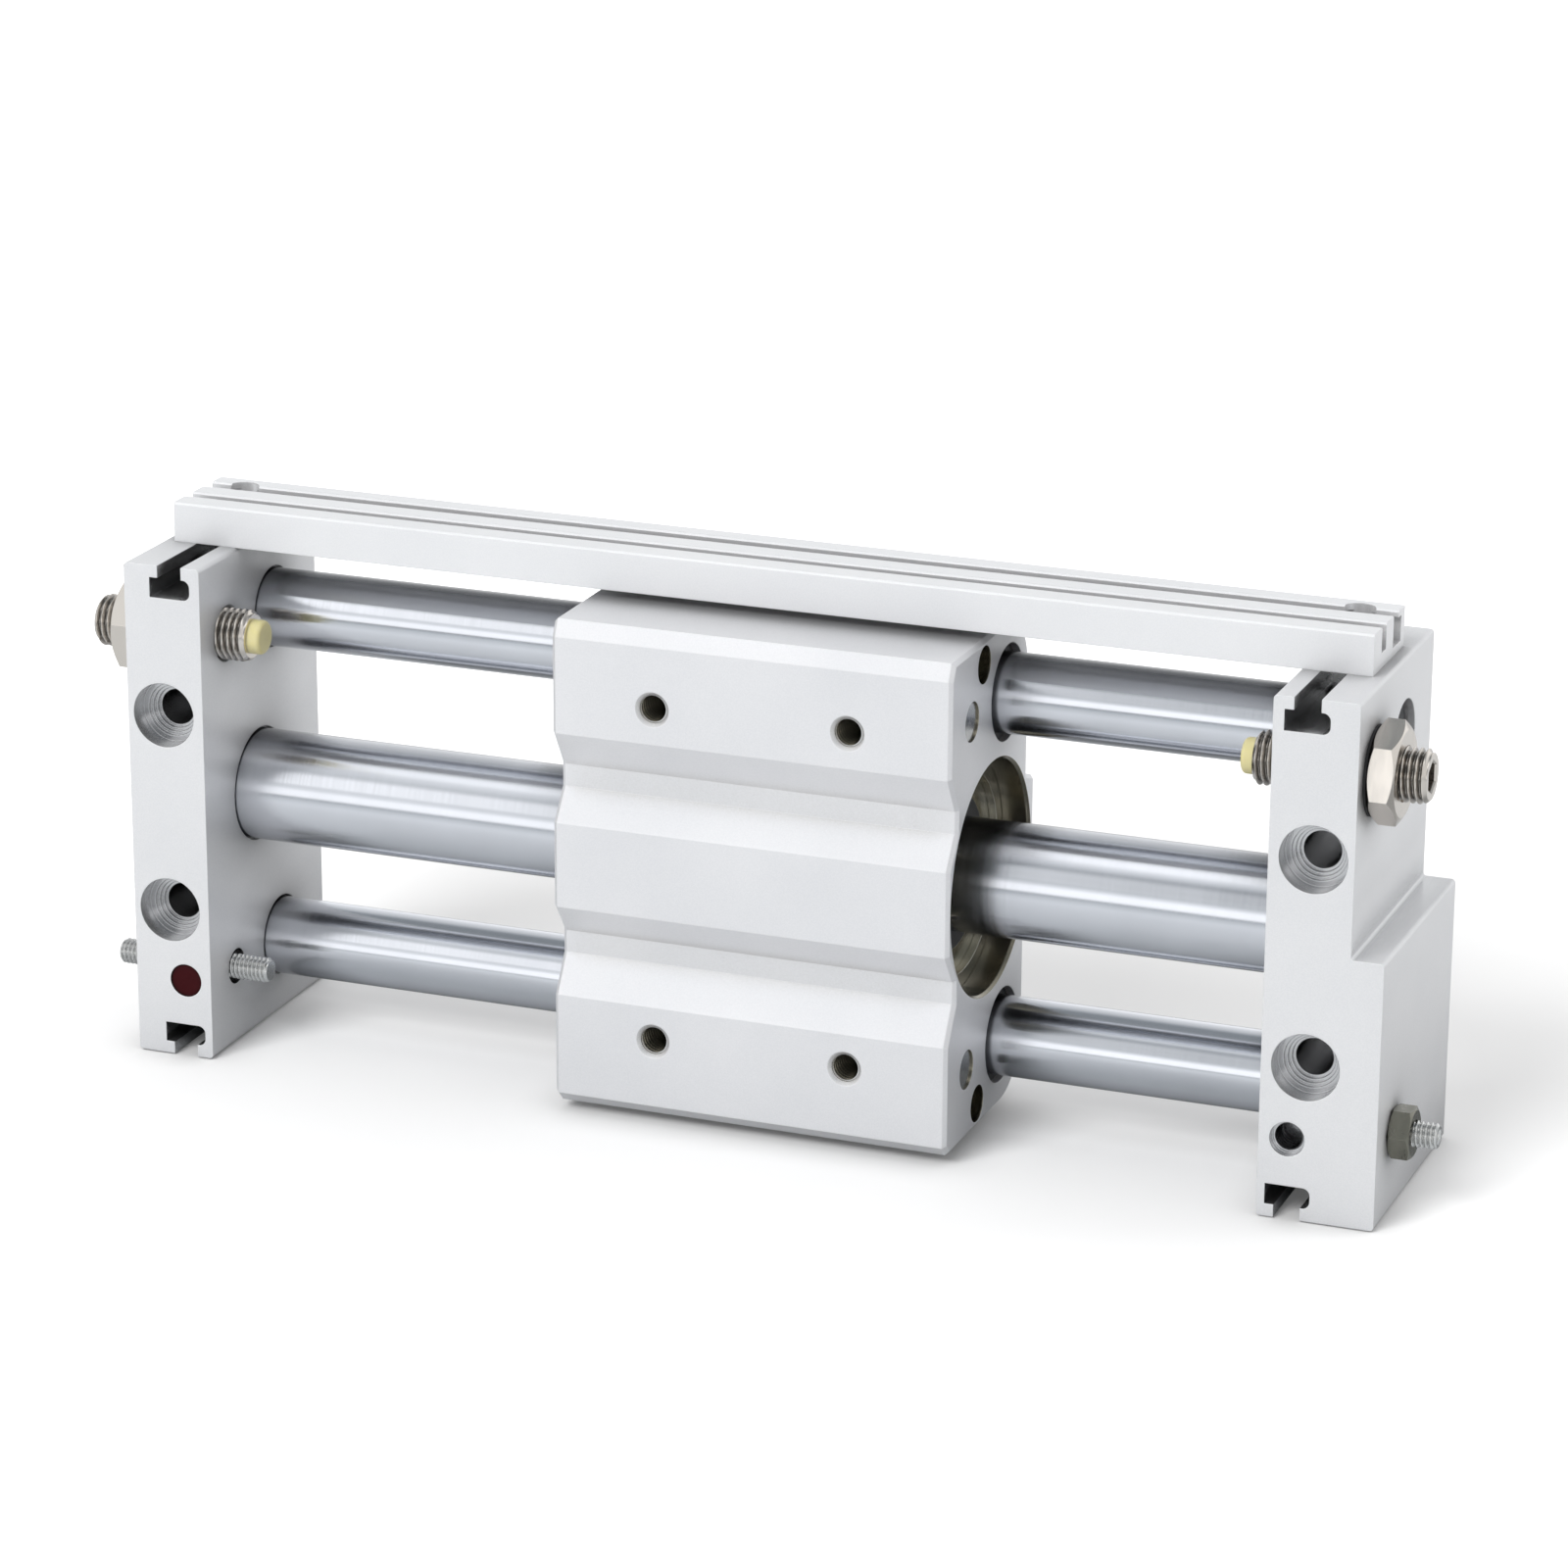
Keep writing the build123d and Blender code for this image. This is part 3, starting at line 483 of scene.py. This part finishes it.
def metalMaterial(spec):
    material, line, shader = newMaterial(spec["name"])
    lines = line.use(streakGroup, {"Along": spec["streak"][0], "Across": spec["streak"][1]})
    grain = line.use(grainGroup, metal["grain"])
    darker, lighter = (scaled(spec["tone"], share) for share in metal["toneChange"])
    colour = line.mixColour(grain["Tone"], darker, lighter)
    # painted shade in thread roots and sockets
    if "hollow" in spec:
        reach, start, end = spec["hollow"]
        hollows = line.use(hollowGroup, {"Reach": reach, "Shade From": start, "Shade To": end})
        colour = line.mixColour(hollows["Shade"], colour, metal["hollowTone"])
    # painted shade in the reflections next to other pieces
    if "contact" in spec:
        reach, strength = spec["contact"]
        near = line.use(hollowGroup, {"Contact Reach": reach})
        share = line.number("MULTIPLY", near["Contact"], strength)
        colour = line.mixColour(share, colour, metal["contactShadeTone"])
    line.put(colour, shader["Base Color"])
    line.put(line.mapTo(lines["Height"], *spec["roughness"], *metal["streakSpan"]), shader["Roughness"])
    line.put(spec.get("metallic", 1.0), shader["Metallic"])
    if "along" in spec:
        line.put(spec["along"], shader["Anisotropic"])
        line.put(line.add("ShaderNodeCombineXYZ", {"X": 1.0}).outputs[0], shader["Tangent"])
    depth = spec["depth"] * mm
    bumped = {"Height": lines["Height"], "Distance": depth, "Strength": metal["bumpStrength"]}
    if "edge" in spec:
        bumped["Normal"] = line.use(edgeGroup, {"Radius": spec["edge"]})["Normal"]
    line.put(line.add("ShaderNodeBump", bumped).outputs[0], shader["Normal"])
    return material


# rubber, urethane and moulded plastic; rim is the reach of the painted shade line beside the next piece

moulded = {
    "toneSize": 3.0,
    "toneChange": (0.9, 1.1),
    # tone of the painted shade line
    "rimShadeTone": (0.004, 0.002, 0.002),
    "roughnessChange": 0.06,
    "bumpStrength": 0.5,
    "specular": 0.5,
    "scatterRadius": (1.0, 0.9, 0.4),
    "scatterScale": 1.2,
}
mouldedPieces = {
    "rubber": {
        "name": "sealRubber", "tone": (0.016, 0.016, 0.017), "roughness": 0.62,
        "grain": 0.3, "depth": 0.02,
    },
    "urethane": {
        "name": "tipUrethane", "tone": (0.58, 0.53, 0.28), "roughness": 0.36,
        "grain": 0.5, "depth": 0.01, "subsurface": 0.35,
    },
    "wear": {
        "name": "wearRing", "tone": (0.78, 0.76, 0.70), "roughness": 0.45,
        "grain": 0.4, "depth": 0.01,
    },
    "plug": {
        "name": "redPlug", "tone": (0.034, 0.0025, 0.004), "roughness": 0.50,
        "grain": 0.4, "depth": 0.02, "specular": 0.10, "rim": 1.2,
    },
}


def mouldedMaterial(spec):
    material, line, shader = newMaterial(spec["name"])
    grain = line.use(grainGroup, {"Grain Size": spec["grain"], "Tone Size": moulded["toneSize"]})
    darker, lighter = (scaled(spec["tone"], share) for share in moulded["toneChange"])
    colour = line.mixColour(grain["Tone"], darker, lighter)
    # painted shade: a dark line round the plug where it sits in its recess
    if "rim" in spec:
        near = line.use(hollowGroup, {"Contact Reach": spec["rim"], "Front Share": 1.0})
        colour = line.mixColour(near["Contact"], colour, moulded["rimShadeTone"])
    line.put(colour, shader["Base Color"])
    roughness, change = spec["roughness"], moulded["roughnessChange"]
    line.put(line.mapTo(grain["Height"], roughness - change, roughness + change), shader["Roughness"])
    depth = spec["depth"] * mm
    bumped = {"Height": grain["Height"], "Distance": depth, "Strength": moulded["bumpStrength"]}
    line.put(line.add("ShaderNodeBump", bumped).outputs[0], shader["Normal"])
    line.put(spec.get("specular", moulded["specular"]), shader["Specular IOR Level"])
    if "subsurface" in spec:
        line.put(spec["subsurface"], shader["Subsurface Weight"])
        line.put(moulded["scatterRadius"], shader["Subsurface Radius"])
        line.put(moulded["scatterScale"] * mm, shader["Subsurface Scale"])
    return material


finish = {}
for makeMaterial, specs in (
    (aluminiumMaterial, aluminiumPieces),
    (metalMaterial, metalPieces),
    (mouldedMaterial, mouldedPieces),
):
    for kind, spec in specs.items():
        finish[kind] = makeMaterial(spec)

finishOf = {
    "plate": ["left_end_plate", "right_end_plate"],
    "block": ["slide_block"],
    "rail": ["sensor_rail"],
    "tube": ["cylinder_tube"],
    "rod": ["upper_guide_rod", "lower_guide_rod"],
    "nickel": ["left_adjusting_bolt", "right_adjusting_bolt", "left_lock_nut", "right_lock_nut"],
    "zinc": ["left_stop_bolt", "right_stop_bolt", "rail_screws", "rail_slot_nuts"],
    "oliveSteel": ["stop_bolt_nut"],
    "blackSteel": ["guide_rod_screws", "rod_set_screw"],
    "springSteel": ["snap_rings"],
    "pinSteel": ["strike_pins"],
    "yoke": ["slider_yokes", "piston_yokes", "piston_shaft", "piston_nuts"],
    "magnet": ["slider_magnets", "piston_magnets", "sensor_magnets"],
    "holder": ["magnet_holders"],
    "bronze": ["upper_guide_bushes", "lower_guide_bushes"],
    "pistonAlloy": ["pistons"],
    "rubber": [
        "tube_end_seals", "lock_nut_seal", "upper_rod_wipers", "lower_rod_wipers",
        "tube_wipers", "piston_seals",
    ],
    "urethane": ["left_bolt_tip", "right_bolt_tip", "piston_bumpers"],
    "wear": ["slider_wear_rings", "piston_wear_rings"],
    "plug": ["port_plug"],
}
for kind, names in finishOf.items():
    for name in names:
        nodes[name].data.materials.clear()
        nodes[name].data.materials.append(finish[kind])
print("finishes set on", sum(len(names) for names in finishOf.values()), "nodes")


# tube and guide rods, as smooth turned pieces

turned = {
    "segments": 160,
    "tubeOuter": 8.5,
    "tubeInner": 7.5,
    "rodRadius": 6.0,
    "rodChamfer": 0.5,
    "tapRadius": 3.0,
    "tapDepth": 14.0,
}


def turnTube():
    low, high = nodeCorners("cylinder_tube")
    outer, inner = turned["tubeOuter"], turned["tubeInner"]
    profile = [(low[0], inner), (low[0], outer), (high[0], outer), (high[0], inner)]
    rows = [ringRow((x, layout["tubeBack"], 0.0), radius, turned["segments"]) for x, radius in profile]
    mesh = skinRows("tubeSkin", rows, loop=True)
    piece = addPiece("tubeSkin", mesh, "frame", finish["tube"])
    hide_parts("cylinder_tube")


def turnRod(name, node, height, tappedRight):
    # the left end is always tapped for its screw
    low, high = nodeCorners(node)
    x0, x1 = low[0], high[0]
    radius, chamfer = turned["rodRadius"], turned["rodChamfer"]
    tapRadius, tapDepth = turned["tapRadius"], turned["tapDepth"]
    profile = [(x0 + tapDepth, tapRadius), (x0, tapRadius), (x0, radius - chamfer), (x0 + chamfer, radius)]
    profile += [(x1 - chamfer, radius), (x1, radius - chamfer)]
    if tappedRight:
        profile += [(x1, tapRadius), (x1 - tapDepth, tapRadius)]
    rows = [ringRow((x, layout["rodBack"], height), r, turned["segments"]) for x, r in profile]
    poles = [(profile[end][0], layout["rodBack"], height) for end in (0, -1)]
    piece = addPiece(name, skinRows(name, rows, *poles), "frame", finish["rod"])
    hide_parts(node)


turnTube()
turnRod("upperRodSkin", "upper_guide_rod", layout["rodHeight"], True)
turnRod("lowerRodSkin", "lower_guide_rod", -layout["rodHeight"], False)
print("tube and guide rods turned")


# threaded bolts

mainBolt = {
    "radius": 3.95,
    "pitch": 1.0,
    "depth": 0.62,
    "point": 0.65,
    "socketFlats": 4.0,
    "socketDepth": 4.0,
    "segments": 60,
    "rowsPerTurn": 10,
}
smallBolt = {
    "radius": 1.95,
    "pitch": 0.7,
    "depth": 0.36,
    "point": 0.4,
    "socketFlats": 2.0,
    "socketDepth": 2.0,
    "segments": 36,
    "rowsPerTurn": 10,
}
boltSocket = {"lip": 1.12, "lipDepth": 0.25, "drillPoint": 0.5}
threadForm = {"crest": 0.12, "flank": 0.74}


def threadShare(phase):
    # 0 at the crest and 1 at the root, with narrow flats at both
    fromRoot = abs(2 * (phase % 1.0) - 1)
    return min(1.0, max(0.0, (1 - fromRoot - threadForm["crest"]) / threadForm["flank"]))


def hexRadius(flats, angle):
    # distance from the middle of a hexagon, whose corners point up and down, to its side
    step = math.pi / 3
    return flats / 2 / math.cos(angle % step - step / 2)


def threadedBolt(name, node, body, spec, side, height, material):
    # side is +1 for a bolt whose socket faces +X; the thread runs from its inner to its outer end
    low, high = nodeCorners(node)
    tipX, endX = (low[0], high[0]) if side > 0 else (-high[0], -low[0])
    length = endX - tipX
    segments = spec["segments"]

    def ring(x, radii):
        return ringRow((side * x, layout["boltBack"], height), radii, segments)

    count = round(length / spec["pitch"] * spec["rowsPerTurn"])
    rows = []
    for j in range(count + 1):
        along = length * j / count
        cap = spec["radius"] - spec["point"] + min(along, length - along)
        phases = [along / spec["pitch"] - side * i / segments for i in range(segments)]
        radii = [min(cap, spec["radius"] - spec["depth"] * threadShare(phase)) for phase in phases]
        rows.append(ring(tipX + along, radii))

    angles = [2 * math.pi * i / segments + math.pi / 6 for i in range(segments)]
    hexagon = [hexRadius(spec["socketFlats"], angle) for angle in angles]
    socketEnd = endX - spec["socketDepth"]
    rows.append(ring(endX, [radius * boltSocket["lip"] for radius in hexagon]))
    rows.append(ring(endX - boltSocket["lipDepth"], hexagon))
    rows.append(ring(socketEnd, hexagon))
    start = (side * tipX, layout["boltBack"], height)
    bottom = (side * (socketEnd - boltSocket["drillPoint"]), layout["boltBack"], height)
    mesh = skinRows(name, rows, start, bottom)
    if side < 0:
        mesh.flip_normals()
    piece = addPiece(name, mesh, body, material, threadAngle)
    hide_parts(node)


for side, label in ((-1, "left"), (1, "right")):
    thread, node, body = f"{label}AdjustingThread", f"{label}_adjusting_bolt", f"{label}_adjuster"
    threadedBolt(thread, node, body, mainBolt, side, layout["rodHeight"], finish["nickel"])
for side, label in ((-1, "left"), (1, "right")):
    thread, node, body = f"{label}StopThread", f"{label}_stop_bolt", f"{label}_stop"
    threadedBolt(thread, node, body, smallBolt, side, -layout["rodHeight"], finish["zinc"])
print("threads cut on the bolts")


# threads inside the tapped holes

tappedHole = {
    "radius": 2.1,
    "pitch": 0.8,
    "ridge": 0.16,
    "wallGap": 0.01,
    "rootGap": 0.02,
    "bottomGap": 0.3,
    "segments": 36,
    "rowsPerTurn": 8,
}
tableHoles = {"pitchX": 30.0, "pitchZ": 51.0, "start": 0.7, "depth": 9.0}
portHole = {"fromInner": 4.2, "height": -26.5, "start": 1.3, "depth": 5.0}


def tapThread(name, body, x, z, hole, material):
    # a thin sleeve against the hole's wall, with the thread's ridges on its inside
    segments, pitch = tappedHole["segments"], tappedHole["pitch"]
    front = layout["frontFace"] + hole["start"]
    length = hole["depth"] - hole["start"] - tappedHole["bottomGap"]
    wall = tappedHole["radius"] - tappedHole["wallGap"]
    root = wall - tappedHole["rootGap"]

    def ring(y, radii):
        return ringRow((x, y, z), radii, segments, axis=1)

    count = int(length / pitch * tappedHole["rowsPerTurn"])
    rows = []
    for j in range(count + 1):
        along = length * j / count
        shares = [1 - threadShare(along / pitch + i / segments) for i in range(segments)]
        rows.append(ring(front + along, [root - tappedHole["ridge"] * share for share in shares]))
    rows.append(ring(front + length, wall))
    rows.append(ring(front, wall))
    addPiece(name, skinRows(name, rows, loop=True), body, material, threadAngle)


holePlaces = [
    (layout["blockMiddle"] + sideX * tableHoles["pitchX"] / 2, sideZ * tableHoles["pitchZ"] / 2)
    for sideZ in (-1, 1)
    for sideX in (-1, 1)
]
for index, (x, z) in enumerate(holePlaces):
    tapThread(f"tableThread{index + 1}", "slider", x, z, tableHoles, finish["block"])
x, z = layout["plateInner"] + portHole["fromInner"], portHole["height"]
tapThread("rightPortThread", "frame", x, z, portHole, finish["portThread"])
print("threads cut in the tapped holes")


# floor, lights and camera; floorGap and contactReach are in millimetres, other lengths in metres

studio = {
    "floorReach": 4.0,
    "floorGap": 0.2,
    "floorTone": 0.82,
    "floorToneChange": 0.01,
    "floorGrain": {"Grain Size": 3.0, "Tone Size": 400.0},
    "floorRoughness": 0.9,
    # to the camera the floor glows by the lift near the middle and is plain white past the far end
    "floorLift": 0.08,
    "floorFar": (0.11, 0.42),
    # painted contact shadow on the floor round the object: its reach, depth, samples, range and tone
    "contactReach": 8.0,
    "contactDepth": 0.3,
    "contactSamples": 8,
    "contact": (0.95, 0.35),
    "contactShadeTone": (0.05, 0.05, 0.05),
    # the soft light's least and most, and the direction that the most comes from
    "fill": (0.27, 1.02),
    "fillFrom": (0.34, 0.86, 0.0),
    "fillSpan": (-0.9, 0.9),
}
lamps = {
    "keyLight": {"power": 23.5, "place": (-0.40, -1.22, 1.12), "size": 0.9},
    "topLight": {"power": 1.8, "place": (0.25, 0.25, 1.30), "size": 0.9},
    "backLight": {"power": 5.6, "place": (1.45, 0.62, 0.30), "size": 0.5},
}

# painted shade and tint on the floor that only polished metal sees: distance in front of the tube in
# metres, brightness, and how blue it is
floorSeen = [
    (-0.20, 0.80, 0.03), (-0.10, 0.70, 0.04), (-0.045, 0.42, 0.05), (-0.027, 0.30, 0.06),
    (-0.010, 0.34, 0.06), (0.0, 0.59, 0.06), (0.015, 0.69, 0.06), (0.045, 0.73, 0.05),
    (0.145, 0.80, 0.05), (0.30, 0.62, 0.07), (0.72, 0.41, 0.09), (1.20, 0.38, 0.09),
]

# the room's brightness in polished metal, by the angle round X: 0 is the front horizon, 90 straight up
# and 180 the back horizon; the last number is how blue it is. The left row holds where a direction's X
# is the first number of across, and the right row where it is the second. The floor hides what is
# below the horizon
studioBands = {
    "across": (-0.43, -0.24),
    "left": [
        (-180, 0.98, 0.02), (-5, 0.55, 0.09), (-1, 0.46, 0.09), (2, 1.28, 0.02), (13, 1.28, 0.02),
        (18, 0.98, 0.04), (23, 0.98, 0.04), (28, 1.55, 0.01), (46, 1.58, 0.01), (54, 0.96, 0.04),
        (68, 0.94, 0.04), (75, 1.16, 0.03), (84, 1.16, 0.03), (90, 0.30, 0.12), (112, 0.30, 0.12),
        (126, 0.30, 0.14), (140, 0.70, 0.05), (158, 0.92, 0.03), (172, 1.10, 0.02),
    ],
    "right": [
        (-180, 0.98, 0.02), (-5, 0.55, 0.10), (-1, 0.46, 0.10), (2, 1.38, 0.02), (13, 1.38, 0.02),
        (18, 0.96, 0.05), (24, 0.52, 0.08), (32, 0.36, 0.10), (44, 0.40, 0.10), (54, 0.32, 0.12),
        (62, 0.80, 0.06), (74, 1.40, 0.02), (84, 1.40, 0.02), (95, 0.66, 0.07), (108, 0.34, 0.12),
        (126, 0.32, 0.14), (140, 0.66, 0.05), (158, 0.90, 0.03), (172, 1.10, 0.02),
    ],
    "side": (0.80, 0.80, 0.80),
    "sideSpan": (0.72, 0.97),
}


# a blue tint takes its whole share from red and this part of it from green
greenPart = 0.4


def toneRamp(line, value, stops):
    # each stop is a place from 0 to 1, a brightness and how blue it is
    node = line.add("ShaderNodeValToRGB", {0: value})
    elements = node.color_ramp.elements
    while len(elements) < len(stops):
        elements.new(1.0)
    for element, (place, tone, tint) in zip(elements, stops):
        element.position = place
        element.color = (tone * (1 - tint), tone * (1 - tint * greenPart), tone, 1.0)
    return node.outputs[0]


def makeBandGroup():
    # what polished metal sees in a direction: softboxes and the dark gaps between them
    group, line, given, result = newGroup(
        "studioBands",
        [("Direction", "NodeSocketVector", None)],
        [("Color", "NodeSocketColor")],
    )
    direction = line.split(given["Direction"])
    towards = line.number("MULTIPLY", direction["Y"], -1.0)
    turn = line.mapTo(line.number("ARCTAN2", direction["Z"], towards), 0.0, 1.0, -math.pi, math.pi)

    def bandRow(row):
        return toneRamp(line, turn, [((angle + 180) / 360, tone, tint) for angle, tone, tint in row])

    across = line.mapTo(direction["X"], 0.0, 1.0, *studioBands["across"])
    bands = line.mixColour(across, bandRow(studioBands["left"]), bandRow(studioBands["right"]))
    sideways = line.number("ABSOLUTE", direction["X"])
    sideShare = line.mapTo(sideways, 0.0, 1.0, *studioBands["sideSpan"])
    line.put(line.mixColour(sideShare, bands, studioBands["side"]), result["Color"])
    return group


def floorMaterial():
    # white to the camera away from the object, and keeps the object's shadow near it
    material, line, shader = newMaterial("paleFloor")
    position = line.add("ShaderNodeNewGeometry").outputs["Position"]
    path = line.add("ShaderNodeLightPath").outputs
    grain = line.use(grainGroup, studio["floorGrain"])
    tone = studio["floorTone"]
    lighter = tone + studio["floorToneChange"]
    colour = line.mixColour(grain["Tone"], (tone, tone, tone), (lighter, lighter, lighter))
    # painted contact shadow where the object comes close to the floor
    reach = {"Distance": studio["contactReach"] * mm}
    occlusion = line.add("ShaderNodeAmbientOcclusion", reach, samples=studio["contactSamples"])
    contact = line.mapTo(occlusion.outputs["AO"], 0.0, studio["contactDepth"], *studio["contact"])
    colour = line.mixColour(contact, colour, studio["contactShadeTone"])

    # painted shade that only polished metal sees: the floor darker under the object and far from it
    inFront = line.number("SUBTRACT", layout["tubeBack"] * mm, line.split(position)["Y"])
    back, front = floorSeen[0][0], floorSeen[-1][0]
    stops = [((distance - back) / (front - back), seen, tint) for distance, seen, tint in floorSeen]
    dimming = toneRamp(line, line.mapTo(inFront, 0.0, 1.0, back, front), stops)
    dimmed = line.vector("MULTIPLY", colour, dimming)["Vector"]
    line.put(line.mixColour(path["Is Glossy Ray"], colour, dimmed), shader["Base Color"])
    line.put(studio["floorRoughness"], shader["Roughness"])
    line.put(0.0, shader["Specular IOR Level"])

    spread = line.vector("LENGTH", position)["Value"]
    far = line.mapTo(spread, studio["floorLift"], 1.0, *studio["floorFar"])
    line.put((1.0, 1.0, 1.0), shader["Emission Color"])
    line.put(line.number("MULTIPLY", path["Is Camera Ray"], far), shader["Emission Strength"])
    return material


def makeFloor():
    mesh = bpy.data.meshes.new("floor")
    reach = studio["floorReach"]
    z = (layout["floorHeight"] - studio["floorGap"]) * mm
    corners = [(-reach, -reach, z), (reach, -reach, z), (reach, reach, z), (-reach, reach, z)]
    mesh.from_pydata(corners, [], [(0, 1, 2, 3)])
    mesh.materials.append(floorMaterial())
    floor = bpy.data.objects.new("floor", mesh)
    bpy.context.scene.collection.objects.link(floor)


def makeWorld():
    # white to the camera, bands to polished metal, and for the rest soft light that comes more from
    # the back and right than from the front
    world = bpy.data.worlds.new("studioWorld")
    bpy.context.scene.world = world
    world.use_nodes = True
    world.node_tree.nodes.clear()
    line = NodeLine(world.node_tree)
    direction = line.add("ShaderNodeTexCoord").outputs["Generated"]
    path = line.add("ShaderNodeLightPath").outputs
    bands = line.use(makeBandGroup(), {"Direction": direction})["Color"]
    share = line.vector("DOT_PRODUCT", direction, studio["fillFrom"])["Value"]
    fill = line.mapTo(share, *studio["fill"], *studio["fillSpan"])
    soft = line.mixColour(path["Is Glossy Ray"], fill, bands)
    seen = line.mixColour(path["Is Camera Ray"], soft, (1.0, 1.0, 1.0))
    background = line.add("ShaderNodeBackground", {"Color": seen, "Strength": 1.0})
    line.add("ShaderNodeOutputWorld", {"Surface": background.outputs[0]})


def makeLamp(name, spec):
    # a round softbox that faces the object and isn't seen in polished metal
    data = bpy.data.lights.new(name, "AREA")
    data.shape = "DISK"
    data.size = spec["size"]
    data.energy = spec["power"]
    lamp = bpy.data.objects.new(name, data)
    bpy.context.scene.collection.objects.link(lamp)
    lamp.location = spec["place"]
    lamp.rotation_euler = (-Vector(spec["place"])).to_track_quat("-Z", "Y").to_euler()
    lamp.visible_glossy = False


# the camera as solved from the photograph: place in metres, angles in degrees, lens and sensor in
# millimetres, shift as a share of the picture's width
photoView = {
    "place": (0.27886, -0.73750, 0.26222),
    "pitch": 71.012,
    "roll": 0.189,
    "heading": 21.371,
    "lens": 126.35,
    "sensor": 36.0,
    "shift": (0.0205, 0.0508),
}


def makeCamera():
    data = bpy.data.cameras.new("photoCamera")
    data.lens = photoView["lens"]
    data.sensor_width = photoView["sensor"]
    data.shift_x, data.shift_y = photoView["shift"]
    camera = bpy.data.objects.new("photoCamera", data)
    bpy.context.scene.collection.objects.link(camera)
    pitch, heading = math.radians(photoView["pitch"] - 90), math.radians(photoView["heading"])
    level = math.cos(pitch)
    ahead = Vector((-math.sin(heading) * level, math.cos(heading) * level, math.sin(pitch)))
    turnFrame = ahead.to_track_quat("-Z", "Y").to_matrix().to_4x4()
    turnFrame.translation = Vector(photoView["place"])
    camera.matrix_world = turnFrame
    camera.rotation_euler.rotate_axis("Z", math.radians(photoView["roll"]))
    bpy.context.scene.camera = camera


makeFloor()
makeWorld()
for name, spec in lamps.items():
    makeLamp(name, spec)
makeCamera()
bpy.context.scene.view_settings.view_transform = "Standard"
print("floor, lights and camera placed")

print("scene ready")
